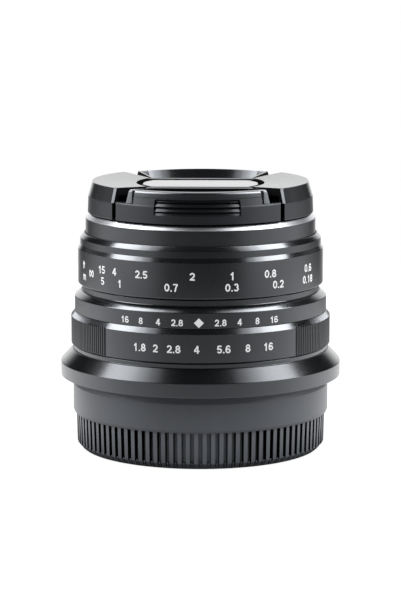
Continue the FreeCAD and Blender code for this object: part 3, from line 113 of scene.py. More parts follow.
# Upper part of a front cap wing, and the plane of its ends as a point and a direction in plan
WING_OUTLINE = [
    (22.35, 54.87), (24.19, 54.87), (23.3, 58.02), (22.7, 58.02), (13.8, 57.52), (13.8, 56.12), (22.29, 56.22),
]
WING_FOLD = 54.87
WING_END = (18.1, 16.2)
WING_END_LINE = (0.64, 0.768)
WING_SPAN = 92
WING_CORNER, PLATE_CORNER = 0.42, 1.1

# Bridge of the front cap as boxes between two corners: bar, front rail, rear rail; the rails' middle and slope
BRIDGE_BOXES = (
    ((-14.4, -7.9, 54.77), (14.4, 7.9, 56.62)),
    ((-12.0, -8.0, 56.0), (12.0, -7.05, 57.18)),
    ((-12.0, 7.05, 56.0), (12.0, 8.0, 57.46)),
)
RAIL_MIDDLE, RAIL_SLOPE = 7.525, 0.15
# Rib below a wing's corner, dark with painted shade, as two corners
CORNER_RIB = ((14.0, 7.7, 51.6), (19.5, 8.6, 56.45))

# Upper part of a pinch lever above its grip: rim and bowl; where it starts, and half its span in degrees
LEVER_OUTLINE = [
    (23.2, 56.55), (23.66, 56.68), (23.45, 57.6), (23.15, 57.89), (21.75, 58.02), (20.0, 54.95), (22.7, 54.95),
    (22.7, 56.55),
]
LEVER_JOIN = 56.65
# Steps of the grip, cut deeper: height and radius of an edge, and its new radius
GRIP_STEPS = (
    (53.97, 23.86, 23.58), (53.98, 24.08, 24.09), (54.97, 23.50, 23.29), (54.98, 23.72, 23.86),
    (55.97, 23.14, 23.07), (55.98, 23.36, 23.62), (56.47, 23.04, 23.22),
)
GRIP_HALF_SPAN, GRIP_TOP, GRIP_CORNER = 22.0, 56.47, 1.0
LEVER_SPAN = 34.3
LEVER_ROUND = 0.05
# Stepped end of a lever: heights, each with corners as (radius, degrees from the lever's middle)
LEVER_END = (
    (55.1, ((24.0, 34.3), (23.0, 37.1), (23.9, 39.1), (21.0, 41.0), (20.2, 34.0))),
    (57.6, ((23.43, 34.3), (22.95, 36.9), (23.35, 38.3), (21.9, 39.6), (21.6, 34.0))),
    (57.94, ((23.1, 34.3), (22.75, 36.9), (23.05, 38.2), (22.0, 39.3), (21.8, 34.0))),
)
# Thin fin from there to the bridge: its foot, and corners in plan with the height of each
FIN_FOOT = 53.4
FIN = ((14.3, 17.2, 57.92), (13.9, 17.5, 57.92), (10.45, 9.3, 57.3), (10.85, 9.3, 57.3))

# What the properties for lengths and for colours share
LENGTH = {"unit": "LENGTH", "precision": 5}
COLOUR = {"subtype": "COLOR", "min": 0, "max": 1}


class LensSizes(bpy.types.PropertyGroup):
    """Sizes of the lens that a user may change."""

    steps: IntProperty(name="Steps", description="Steps of a full turn of a ring", default=256, min=32)
    edge_round: FloatProperty(
        name="Edge round", description="Rounding of the turned edges", default=0.00009, **LENGTH)
    cap_edge_round: FloatProperty(
        name="Cap edge round", description="Rounding of the moulded edges of the caps",
        default=0.00012, **LENGTH)
    rib_count: IntProperty(name="Ribs", description="Grip ribs round the rear cap", default=96, min=8)
    knurl_count: IntProperty(
        name="Knurl teeth", description="Teeth of a full turn of the aperture ring's knurl",
        default=250, min=20)
    knurl_depth: FloatProperty(
        name="Knurl depth", description="Depth of the aperture ring's knurl", default=0.00028, **LENGTH)
    window_angle: FloatProperty(
        name="Smooth window", description="Half angle of the ring's smooth front window",
        default=math.radians(45.5), unit="ROTATION")
    paint_height: FloatProperty(
        name="Paint height", description="Height of the painted figures over the metal",
        default=0.00002, **LENGTH)
    cap_turn: FloatProperty(
        name="Front cap turn", description="Turn of the front cap as it was clipped on",
        default=math.radians(-1.7), unit="ROTATION")
    thread_pitch: FloatProperty(
        name="Thread pitch", description="Pitch of the filter thread", default=0.00075, **LENGTH)


class LensColours(bpy.types.PropertyGroup):
    """Colours of the lens's finishes."""

    anodised: FloatVectorProperty(
        name="Anodised metal", description="Black anodised aluminium",
        default=(0.0062, 0.0066, 0.0078), **COLOUR)
    inner: FloatVectorProperty(
        name="Inner black", description="Flat black inside the barrel",
        default=(0.010, 0.010, 0.011), **COLOUR)
    rear_cap: FloatVectorProperty(
        name="Rear cap", description="Moulded plastic of the rear cap",
        default=(0.050, 0.054, 0.062), **COLOUR)
    front_cap: FloatVectorProperty(
        name="Front cap", description="Moulded plastic of the front cap",
        default=(0.0090, 0.0098, 0.0118), **COLOUR)
    plate: FloatVectorProperty(
        name="Centre plate", description="Gloss plate of the front cap",
        default=(0.012, 0.012, 0.013), **COLOUR)
    paint: FloatVectorProperty(
        name="Scale paint", description="Paint of the scale figures", default=(0.86, 0.87, 0.88), **COLOUR)
    floor: FloatVectorProperty(
        name="Floor", description="Pale floor", default=(0.8, 0.8, 0.8), **COLOUR)


# Materials: small node trees
class NodeTree:
    """The node tree of a material or a world, built step by step."""

    def __init__(self, owner):
        owner.use_nodes = True
        self.tree = owner.node_tree
        self.tree.nodes.clear()

    def feed(self, entry, value):
        """Links another node's output to a socket, or sets a plain value on it."""
        if isinstance(value, bpy.types.NodeSocket):
            self.tree.links.new(value, entry)
        else:
            entry.default_value = value

    def node(self, kind, **values):
        """Adds a node; an underscore stands for the space in a socket's name."""
        node = self.tree.nodes.new(f"ShaderNode{kind}")
        for name, value in values.items():
            self.feed(node.inputs[name.replace("_", " ")], value)
        return node

    def maths(self, operation, *values):
        node = self.node("Math")
        node.operation = operation
        for entry, value in zip(node.inputs, values):
            self.feed(entry, value)
        return node.outputs["Value"]

    def plus(self, first, second):
        return self.maths("ADD", first, second)

    def times(self, first, second):
        return self.maths("MULTIPLY", first, second)

    def larger(self, first, second):
        return self.maths("MAXIMUM", first, second)

    def parts(self, place):
        """The X, Y and Z of a place or direction."""
        return self.node("SeparateXYZ", Vector=place).outputs

    def axis_distance(self, parts):
        squares = [self.maths("POWER", parts[axis], 2.0) for axis in ("X", "Y")]
        return self.maths("SQRT", self.plus(*squares))

    def between(self, value, low, high, start=0.3, end=0.7, kind="LINEAR"):
        """Takes a value from start..end, by default the span of a noise, to low..high."""
        node = self.node("MapRange", Value=value, From_Min=start, From_Max=end, To_Min=low, To_Max=high)
        node.interpolation_type = kind
        return node.outputs["Result"]

    def slope(self, value, start, end, low=0.0, high=1.0):
        """A smooth step from low at start to high at end."""
        return self.between(value, low, high, start, end, "SMOOTHSTEP")


class Finish(NodeTree):
    """A material round one Principled shader; its patterns read object coordinates."""

    def __init__(self, name):
        self.material = bpy.data.materials.new(name)
        super().__init__(self.material)
        self.shader = self.node("BsdfPrincipled")
        self.node("OutputMaterial", Surface=self.shader.outputs["BSDF"])
        self.place = self.node("TexCoord").outputs["Object"]

    def set(self, name, value):
        self.feed(self.shader.inputs[name], value)

    def turned_place(self):
        """Coordinates that are alike all round the axis: distance from it, and height."""
        parts = self.parts(self.place)
        return self.node("CombineXYZ", X=self.axis_distance(parts), Y=parts["Z"]).outputs["Vector"]

    def noise(self, vector, scale, detail=2.0, roughness=0.5):
        values = {"Vector": vector, "Scale": scale, "Detail": detail, "Roughness": roughness}
        return self.node("TexNoise", **values).outputs["Fac"]

    def colour(self, pattern, first, second):
        """Colours the surface by a noise between two colours."""
        node = self.node("Mix")
        node.data_type = "RGBA"
        self.feed(node.inputs["Factor"], self.between(pattern, 0.0, 1.0))
        self.feed(node.inputs["A"], (*first, 1))
        self.feed(node.inputs["B"], (*second, 1))
        self.set("Base Color", node.outputs["Result"])

    def bump(self, height, distance, strength):
        """Adds a bump on top of the one before."""
        node = self.node("Bump", Height=height, Distance=distance, Strength=strength)
        for link in self.shader.inputs["Normal"].links:
            self.feed(node.inputs["Normal"], link.from_socket)
        self.set("Normal", node.outputs["Normal"])


# Tint of the reflections: a little cooler than the lamps
COOL = (0.90, 0.94, 1.0, 1)


def shade(colour, share):
    return tuple(min(1.0, channel * share) for channel in colour)


def anodised_finish(name, colour, roughness, ior, grain_height, line_height):
    """Black anodised metal, blasted or turned, with slightly uneven dye."""
    finish = Finish(name)
    cloud = finish.noise(finish.place, scale=90.0, detail=3.0)
    grain = finish.noise(finish.place, scale=6500.0)
    lines = finish.noise(finish.turned_place(), scale=5200.0, detail=1.0)
    finish.colour(cloud, shade(colour, 0.85), shade(colour, 1.2))
    finish.set("Roughness", finish.plus(finish.between(grain, roughness - 0.05, roughness + 0.05),
                                        finish.between(cloud, -0.02, 0.02)))
    finish.set("IOR", ior)
    finish.set("Specular Tint", COOL)
    finish.bump(grain, grain_height, 0.6)
    finish.bump(lines, line_height, 0.6)
    return finish.material


def inner_finish(colour):
    """Flat black of the insides, slightly dusty."""
    finish = Finish("inner black")
    dust = finish.noise(finish.place, scale=600.0, detail=4.0)
    finish.colour(dust, shade(colour, 0.8), shade(colour, 1.5))
    finish.set("Roughness", finish.between(dust, 0.62, 0.78))
    finish.bump(finish.noise(finish.place, scale=7000.0), 8e-6, 0.6)
    return finish.material


def moulded_finish(name, colour, roughness, ior, grain_height):
    """Moulded plastic with a fine spark-eroded grain and slight flow marks."""
    finish = Finish(name)
    stretched = finish.node("Mapping", Vector=finish.place, Scale=(1.0, 1.0, 0.35))
    flow = finish.noise(stretched.outputs["Vector"], scale=70.0, detail=3.0)
    grain = finish.noise(finish.place, scale=4200.0, detail=3.0, roughness=0.6)
    finish.colour(flow, shade(colour, 0.90), shade(colour, 1.12))
    finish.set("Roughness", finish.between(grain, roughness - 0.04, roughness + 0.05))
    finish.set("IOR", ior)
    finish.set("Specular Tint", COOL)
    finish.bump(grain, grain_height, 0.7)
    return finish.material


def gloss_finish(colour):
    """Polished plate with a trace of fine wipe marks."""
    finish = Finish("gloss centre plate")
    stretched = finish.node("Mapping", Vector=finish.place, Scale=(300.0, 4000.0, 300.0))
    wipes = finish.noise(stretched.outputs["Vector"], scale=1.0, detail=3.0)
    finish.colour(wipes, shade(colour, 0.92), shade(colour, 1.1))
    finish.set("Roughness", finish.between(wipes, 0.10, 0.16))
    return finish.material


def metal_finish(name, colour, roughness, lines_scale):
    """Bare metal with turning or brushing lines round the axis."""
    finish = Finish(name)
    lines = finish.noise(finish.turned_place(), lines_scale)
    cloud = finish.noise(finish.place, scale=150.0)
    finish.colour(cloud, shade(colour, 0.93), shade(colour, 1.04))
    finish.set("Roughness", finish.between(lines, roughness * 0.8, roughness * 1.25))
    finish.set("Metallic", 1.0)
    finish.bump(lines, 2e-6, 0.5)
    return finish.material


def glass_finish():
    """Optical glass with a coating that tints its reflections."""
    finish = Finish("coated glass")
    finish.set("Base Color", (0.97, 0.99, 0.98, 1))
    finish.set("Roughness", finish.between(finish.noise(finish.place, scale=200.0), 0.0, 0.012))
    finish.set("Transmission Weight", 1.0)
    finish.set("IOR", 1.62)
    finish.set("Specular Tint", (0.45, 0.75, 0.62, 1))
    return finish.material


def paint_finish(colour):
    """Matt paint filled into the engraved figures."""
    finish = Finish("scale paint")
    grain = finish.noise(finish.place, scale=5200.0)
    finish.colour(grain, shade(colour, 0.93), colour)
    finish.set("Roughness", finish.between(grain, 0.48, 0.6))
    finish.bump(grain, 3e-6, 0.4)
    return finish.material


FINISHES = {}


def finishes():
    """Every material of the lens, made once."""
    if not FINISHES:
        colours = bpy.context.scene.lens_colours
        metal, plastic = colours.anodised, colours.front_cap
        # Roughness, index of refraction, then the heights of the grain and the turning lines in metres
        FINISHES.update(
            black_anodised=anodised_finish("blasted black metal", metal, 0.32, 1.9, 6e-6, 5e-7),
            turned=anodised_finish("turned black metal", shade(metal, 0.4), 0.17, 2.25, 1e-6, 1.2e-6),
            flare=anodised_finish("turned flare", shade(metal, 0.4), 0.20, 1.75, 1e-6, 8e-7),
        )
        # Roughness, index of refraction, height of the grain in metres
        FINISHES.update(
            rear_cap_plastic=moulded_finish("rear cap plastic", colours.rear_cap, 0.42, 1.6, 1e-5),
            # Painted light: a lighter copy of the rear cap's plastic for the ribs and the grooves' floors
            rib=moulded_finish("rear cap ribs with painted light", shade(colours.rear_cap, 1.5), 0.42, 1.6, 1e-5),
            # Painted shade: a near black copy of the rear cap's plastic, for the grooves' side walls and the
            # front cap's and levers' inner faces
            groove=moulded_finish("plastic in shadow", shade(colours.rear_cap, 0.06), 0.6, 1.15, 4e-6),
            cap_plastic=moulded_finish("front cap plastic", plastic, 0.40, 1.6, 9e-6),
            cap_top=moulded_finish("front cap smooth top", plastic, 0.22, 1.6, 2e-6),
            # Smoother wall of the wings, its colour darkened to 0.8 as painted shade
            cap_wall=moulded_finish("front cap smooth wall with painted shade", shade(plastic, 0.8), 0.20, 1.4, 2e-6),
            cap_edge=moulded_finish("front cap polished edge", shade(plastic, 0.5), 0.12, 2.25, 5e-7),
            cap_bowl=moulded_finish("front cap polished bowl", shade(plastic, 0.5), 0.16, 1.95, 5e-7),
            cap_grip=moulded_finish("front cap polished grip", shade(plastic, 0.5), 0.17, 2.3, 5e-7),
            # Painted highlight: light grey on the corner facets at the ends of the wings and levers
            cap_corner=moulded_finish("front cap corner with painted highlight", (0.42, 0.44, 0.47), 0.3, 1.6, 1e-6),
        )
        # Roughness, and how close the lines are
        FINISHES.update(
            cut_edge=metal_finish("bare cut edge", (0.60, 0.62, 0.65), 0.34, 5200.0),
            bayonet_metal=metal_finish("satin chrome", (0.62, 0.62, 0.63), 0.22, 3600.0),
            screw_steel=metal_finish("screw steel", (0.40, 0.39, 0.38), 0.3, 5200.0),
            blade_steel=metal_finish("blued blade steel", (0.075, 0.077, 0.085), 0.42, 4200.0),
            pin_brass=metal_finish("pin brass", (0.70, 0.50, 0.24), 0.28, 4800.0),
            inner_black=inner_finish(colours.inner),
            badge_plastic=gloss_finish(colours.plate),
            glass=glass_finish(),
            paint=paint_finish(colours.paint),
        )
    return FINISHES


# Shapes: outlines spun round the axis, and their rounded edges
def reach_of(spot):
    """Distance of a place from the axis."""
    return math.hypot(spot.x, spot.y)


def move_to_reach(vert, reach):
    """Moves a vertex straight in or out to a distance from the axis."""
    share = reach / reach_of(vert.co)
    vert.co.x *= share
    vert.co.y *= share


def outward_share(face, spot):
    """How much a face looks away from the axis, from -1 to 1."""
    return (face.normal.x * spot.x + face.normal.y * spot.y) / max(reach_of(spot), 1e-6)


def spin_outline(bm, outline, steps, start=0.0, sweep=FULL_TURN):
    """Spins a closed outline in millimetres round the axis; degrees from the front, positive to the right."""
    angle = math.radians(start)
    corners = [bm.verts.new((r * MM * math.sin(angle), -r * MM * math.cos(angle), z * MM)) for r, z in outline]
    edges = [bm.edges.new((corners[number - 1], corners[number])) for number in range(len(corners))]
    whole = abs(sweep - FULL_TURN) < 1e-6
    parts = corners + edges
    if not whole:
        parts.append(bm.faces.new(corners))
    bmesh.ops.spin(bm, geom=parts, cent=(0, 0, 0), axis=(0, 0, 1), dvec=(0, 0, 0), angle=math.radians(sweep),
                   steps=steps, use_merge=whole, use_normal_flip=False, use_duplicate=False)


def merge(bm):
    """Merges doubles and turns the faces outwards."""
    bmesh.ops.remove_doubles(bm, verts=bm.verts, dist=MERGE)
    bmesh.ops.recalc_face_normals(bm, faces=bm.faces)


def others(bm, old):
    """The vertices that weren't there before."""
    return [vert for vert in bm.verts if vert not in old]


def only(made, kind, group="geom"):
    """What an operator made of one kind."""
    return [item for item in made[group] if isinstance(item, kind)]


def bevel_edges(bm, edges, width, segments):
    return bmesh.ops.bevel(bm, geom=edges, offset=width, offset_type="OFFSET", segments=segments, profile=0.5,
                           affect="EDGES", material=-1, clamp_overlap=True)


def round_edges(bm, width, corner=TURNED_CORNER, segments=2):
    """Merges doubles, turns the faces outwards and rounds every edge that is sharper than an angle."""
    bmesh.ops.remove_doubles(bm, verts=bm.verts, dist=MERGE)
    bmesh.ops.dissolve_degenerate(bm, dist=MERGE / 10, edges=bm.edges)
    bmesh.ops.recalc_face_normals(bm, faces=bm.faces)
    sharp = [edge for edge in bm.edges if len(edge.link_faces) == 2 and edge.calc_face_angle(0.0) > corner]
    bevel_edges(bm, sharp, width, segments)


def new_mesh(name, bm):
    mesh = bpy.data.meshes.new(name)
    bm.to_mesh(mesh)
    bm.free()
    return mesh


def new_object(name, data):
    item = bpy.data.objects.new(name, data)
    bpy.context.scene.collection.objects.link(item)
    return item


def finish_piece(bm, name, body, slot, node, more=()):
    """Makes the object of a finished mesh, with its slot's finish and more, ties it to its body, and with a slot
    hides its node.
    """
    for face in bm.faces:
        face.smooth = True
    for edge in bm.edges:
        edge.smooth = len(edge.link_faces) == 2 and edge.calc_face_angle(0.0) < CREASE
    mesh = new_mesh(name, bm)
    for finish in (slot, *more):
        if finish:
            mesh.materials.append(finishes()[finish])
    piece = new_object(name, mesh)
    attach(piece, body)
    if slot:
        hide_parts(node)


def mark_turned_faces(bm):
    """Gives the sloping faces of a ring, which are turned last, the second finish."""
    bmesh.ops.recalc_face_normals(bm, faces=bm.faces)
    bm.normal_update()
    low, high = TURNED_SLOPES
    for face in bm.faces:
        face.material_index = 1 if low < face.normal.z < high else 0


def turned_piece(name, outline, body, node, bevel_finish="turned", lug=None):
    """A blasted ring with turned bevels, and perhaps a lug inside, in place of its node."""
    sizes = bpy.context.scene.lens_sizes
    bm = bmesh.new()
    spin_outline(bm, outline, sizes.steps)
    round_edges(bm, sizes.edge_round)
    if lug:
        spin_outline(bm, *lug)
    mark_turned_faces(bm)
    finish_piece(bm, name, body, "black_anodised", node, (bevel_finish,))


def node_copy(bm, node):
    """Adds a merged copy of a node's mesh, with its flat faces joined up again."""
    bm.from_mesh(frame["nodes"][node].data)
    bmesh.ops.remove_doubles(bm, verts=bm.verts, dist=2 * MERGE)
    bmesh.ops.dissolve_limit(bm, angle_limit=math.radians(0.4), use_dissolve_boundaries=False, verts=bm.verts,
                             edges=bm.edges)


def turn_mesh(bm, angle):
    bmesh.ops.rotate(bm, verts=bm.verts, cent=(0, 0, 0), matrix=Matrix.Rotation(angle, 3, "Z"))


class LENS_OT_rear_cap(bpy.types.Operator):
    """Ribbed rear cap with its inner tabs"""
    bl_idname = "lens.rear_cap"
    bl_label = "Rear cap"

    def execute(self, context):
        sizes = context.scene.lens_sizes
        bm = bmesh.new()
        spin_outline(bm, REAR_CAP_OUTLINE, sizes.rib_count * RIB_COLUMNS)
        merge(bm)
        bmesh.ops.delete(bm, geom=[edge for edge in bm.edges if not edge.link_faces], context="EDGES")
        self.cut_grooves(bm, sizes.rib_count)
        round_edges(bm, sizes.edge_round)
        self.mark_ribs(bm)
        for number in range(sizes.rib_count):
            middle = FULL_TURN * (number + 0.5 * GROOVE_COLUMNS / RIB_COLUMNS) / sizes.rib_count
            spin_outline(bm, TICK_OUTLINE, 1, middle - TICK_SPAN / 2, TICK_SPAN)
        bmesh.ops.recalc_face_normals(bm, faces=bm.faces)
        for number in range(TAB_COUNT):
            start = FULL_TURN * (number + 0.5) / TAB_COUNT - TAB_SPAN / 2 + 90
            spin_outline(bm, TAB_OUTLINE, 24, start, TAB_SPAN)
        turn_mesh(bm, math.radians(REAR_CAP_TURN))
        # The groove walls get a painted shade and the ribs a lighter copy of the plastic as painted light
        finish_piece(bm, "rear_cap_shell", "rear_cap_body", "rear_cap_plastic", "rear_cap", ("groove", "rib"))
        return {"FINISHED"}

    def cut_grooves(self, bm, count):
        """Sinks the grooves between the ribs to a plain floor."""
        grooves = []
        for face in bm.faces:
            spot = face.calc_center_median()
            if reach_of(spot) > 26.0 * MM and 0.2 * MM < spot.z < 8.0 * MM:
                turn = math.atan2(spot.x, -spot.y) / math.tau % 1.0
                if turn * count % 1.0 < GROOVE_COLUMNS / RIB_COLUMNS:
                    grooves.append(face)
        pushed = bmesh.ops.extrude_face_region(bm, geom=grooves)
        bmesh.ops.delete(bm, geom=grooves, context="FACES_KEEP_BOUNDARY")
        for vert in only(pushed, bmesh.types.BMVert):
            move_to_reach(vert, GROOVE_FLOOR * MM)

    def mark_ribs(self, bm):
        """Gives the grooves' side walls a painted shade, near black, and the ribs and the grooves' floors a
        lighter copy of the plastic as painted light.
        """
        bm.normal_update()
        for face in bm.faces:
            spot = face.calc_center_median()
            if 25.6 * MM < reach_of(spot) < 27.1 * MM and 0.2 * MM < spot.z < 7.99 * MM:
                face.material_index = 1 if abs(outward_share(face, spot)) < 0.35 else 2


class LENS_OT_barrel(bpy.types.Operator):
    """Fixed barrel with its flange, flare and neck, and the index ring above it"""
    bl_idname = "lens.barrel"
    bl_label = "Fixed barrel and index ring"

    def execute(self, context):
        turned_piece("barrel_shell", BARREL_OUTLINE, "lens_barrel", "mount_barrel", "flare")
        turned_piece("index_shell", INDEX_OUTLINE, "lens_barrel", "index_ring")
        return {"FINISHED"}


class LENS_OT_aperture_ring(bpy.types.Operator):
    """Aperture ring: straight knurl all round but for a smooth front window"""
    bl_idname = "lens.aperture_ring"
    bl_label = "Aperture ring"

    def execute(self, context):
        sizes = context.scene.lens_sizes
        root = APERTURE_RADIUS * MM - sizes.knurl_depth
        total = sizes.knurl_count * KNURL_COLUMNS
        step = math.tau / total
        bm = bmesh.new()
        spin_outline(bm, APERTURE_OUTLINE, total)
        merge(bm)
        for vert in bm.verts:
            turn = math.atan2(vert.co.x, -vert.co.y)
            if reach_of(vert.co) < root or abs(turn) < sizes.window_angle - 0.5 * step:
                continue
            beside = abs(turn) < sizes.window_angle + 2.5 * step
            if beside or round(turn / step) % KNURL_COLUMNS in (0, 1):
                move_to_reach(vert, root)
        mark_turned_faces(bm)
        finish_piece(bm, "aperture_shell", "aperture_body", "black_anodised", "aperture_ring", ("turned",))
        return {"FINISHED"}


class LENS_OT_focus_ring(bpy.types.Operator):
    """Focus ring with its scale band and stepped top"""
    bl_idname = "lens.focus_ring"
    bl_label = "Focus ring"

    def execute(self, context):
        turned_piece("focus_shell", FOCUS_OUTLINE, "focus_body", "focus_ring", lug=STOP_LUG)
        return {"FINISHED"}


class LENS_OT_front_barrel(bpy.types.Operator):
    """Front barrel with the filter thread in its bore"""
    bl_idname = "lens.front_barrel"
    bl_label = "Front barrel"

    def execute(self, context):
        pitch = context.scene.lens_sizes.thread_pitch / MM
        outline = list(FRONT_BARREL_OUTSIDE)
        height = THREAD_TOP
        while height - pitch > THREAD_END:
            outline += [(THREAD_CREST, height), (THREAD_ROOT, height - pitch / 2)]
            height -= pitch
        outline += [(THREAD_CREST, height), *FRONT_BARREL_INSIDE]
        turned_piece("front_barrel_shell", outline, "optics", "front_barrel", "cut_edge")
        return {"FINISHED"}


def cut_off(bm, place, normal):
    """Cuts away what lies on the normal's side of a plane and closes the cut."""
    parts = bm.verts[:] + bm.edges[:] + bm.faces[:]
    made = bmesh.ops.bisect_plane(bm, geom=parts, dist=MERGE, plane_co=place, plane_no=normal, clear_outer=True)
    bmesh.ops.holes_fill(bm, edges=only(made, bmesh.types.BMEdge, "geom_cut"), sides=0)


def box_block(bm, low, high):
    """Adds a box between two opposite corners in millimetres."""
    middle = [(a + b) / 2 * MM for a, b in zip(low, high)]
    spread = [abs(b - a) * MM for a, b in zip(low, high)]
    bmesh.ops.create_cube(bm, size=1.0, matrix=Matrix.Translation(middle) @ Matrix.Diagonal((*spread, 1)))


def join_mesh(bm, part):
    """Adds a finished part's mesh to another and frees it."""
    copy = new_mesh("part", part)
    bm.from_mesh(copy)
    bpy.data.meshes.remove(copy)


def rise_of(edge):
    return abs(edge.verts[0].co.z - edge.verts[1].co.z)


def paint_faces(bm, choose):
    """Sets each face's finish from its middle and radius in millimetres and its outward and upward shares."""
    bm.normal_update()
    for face in bm.faces:
        spot = face.calc_center_median()
        number = choose(spot / MM, reach_of(spot) / MM, outward_share(face, spot), face.normal.z)
        if number is not None:
            face.material_index = number


class LENS_OT_front_cap(bpy.types.Operator):
    """Front cap with its two wings, the bridge and the bare centre plate"""
    bl_idname = "lens.front_cap"
    bl_label = "Front cap"

    def execute(self, context):
        sizes = context.scene.lens_sizes
        rounding = sizes.cap_edge_round
        bm = bmesh.new()
        node_copy(bm, "front_cap")
        cut_off(bm, (0, 0, WING_FOLD * MM), (0, 0, 1))
        round_edges(bm, rounding, MOULDED_CORNER)
        self.add_wings(bm, rounding)
        self.add_bridge(bm, rounding)
        paint_faces(bm, self.choose)
        turn_mesh(bm, sizes.cap_turn)
        finish_piece(bm, "front_cap_shell", "front_cap_body", "cap_plastic", "front_cap", CAP_FINISHES[:EDGE])
        bm = bmesh.new()
        node_copy(bm, "cap_centre_plate")
        bevel_edges(bm, [edge for edge in bm.edges if rise_of(edge) > 0.4 * MM], PLATE_CORNER * MM, 4)
        round_edges(bm, rounding, MOULDED_CORNER, 3)
        turn_mesh(bm, sizes.cap_turn)
        finish_piece(bm, "centre_plate", "front_cap_body", "badge_plastic", "cap_centre_plate")
        return {"FINISHED"}

    def add_wings(self, bm, rounding):
        """The two wings, cut straight at their ends, with their upright corners painted light grey as a painted
        highlight.
        """
        along, across = WING_END_LINE
        for side in (1, -1):
            wing = bmesh.new()
            spin_outline(wing, WING_OUTLINE, 48, 90 * side - WING_SPAN / 2, WING_SPAN)
            bmesh.ops.recalc_face_normals(wing, faces=wing.faces)
            for end in (1, -1):
                place = (side * WING_END[0] * MM, end * WING_END[1] * MM, 0)
                cut_off(wing, place, (-side * across, end * along, 0))
            bmesh.ops.recalc_face_normals(wing, faces=wing.faces)
            wing.normal_update()
            ends = [face for face in wing.faces
                    if abs(abs(face.normal.x) - across) < 0.02 and abs(face.normal.z) < 0.01]
            corners = [edge for edge in wing.edges if sum(face in ends for face in edge.link_faces) == 1
                       and rise_of(edge) > 2.5 * MM and reach_of(edge.verts[0].co) > 23 * MM]
            # The corner facets get a painted highlight
            for face in bevel_edges(wing, corners, WING_CORNER * MM, 1)["faces"]:
                face.material_index = CORNER_HIGHLIGHT
            round_edges(wing, rounding, MOULDED_CORNER)
            join_mesh(bm, wing)

    def add_bridge(self, bm, rounding):
        """Bridge between the wings, its two rails, and the ribs that close the corners below the wings, dark
        with painted shade.
        """
        bridge = bmesh.new()
        for corners in BRIDGE_BOXES:
            box_block(bridge, *corners)
        for side, end in ((1, 1), (1, -1), (-1, 1), (-1, -1)):
            box_block(bridge, *((x * side, y * end, z) for x, y, z in CORNER_RIB))
        for vert in bridge.verts:
            if vert.co.z > 57.1 * MM:
                vert.co.z += RAIL_SLOPE * (vert.co.y - math.copysign(RAIL_MIDDLE * MM, vert.co.y))
        round_edges(bridge, rounding, MOULDED_CORNER)
        join_mesh(bm, bridge)

    @staticmethod
    def choose(spot, reach, outward, upward):
        if spot.z > 57.0 and upward > 0.25:
            on_rail = 6.9 < abs(spot.y) < 8.1 and abs(spot.x) < 12.1
            return TOP if upward > 0.9 and not on_rail else EDGE
        if spot.z > WING_FOLD + 0.05 and reach > 23.0 and outward > 0.9:
            return WALL
        # Inner faces under the top, and the corner ribs: painted shade, near black
        if reach < 22.9 and 52.0 < spot.z < 57.1:
            return SHADOW
        return None


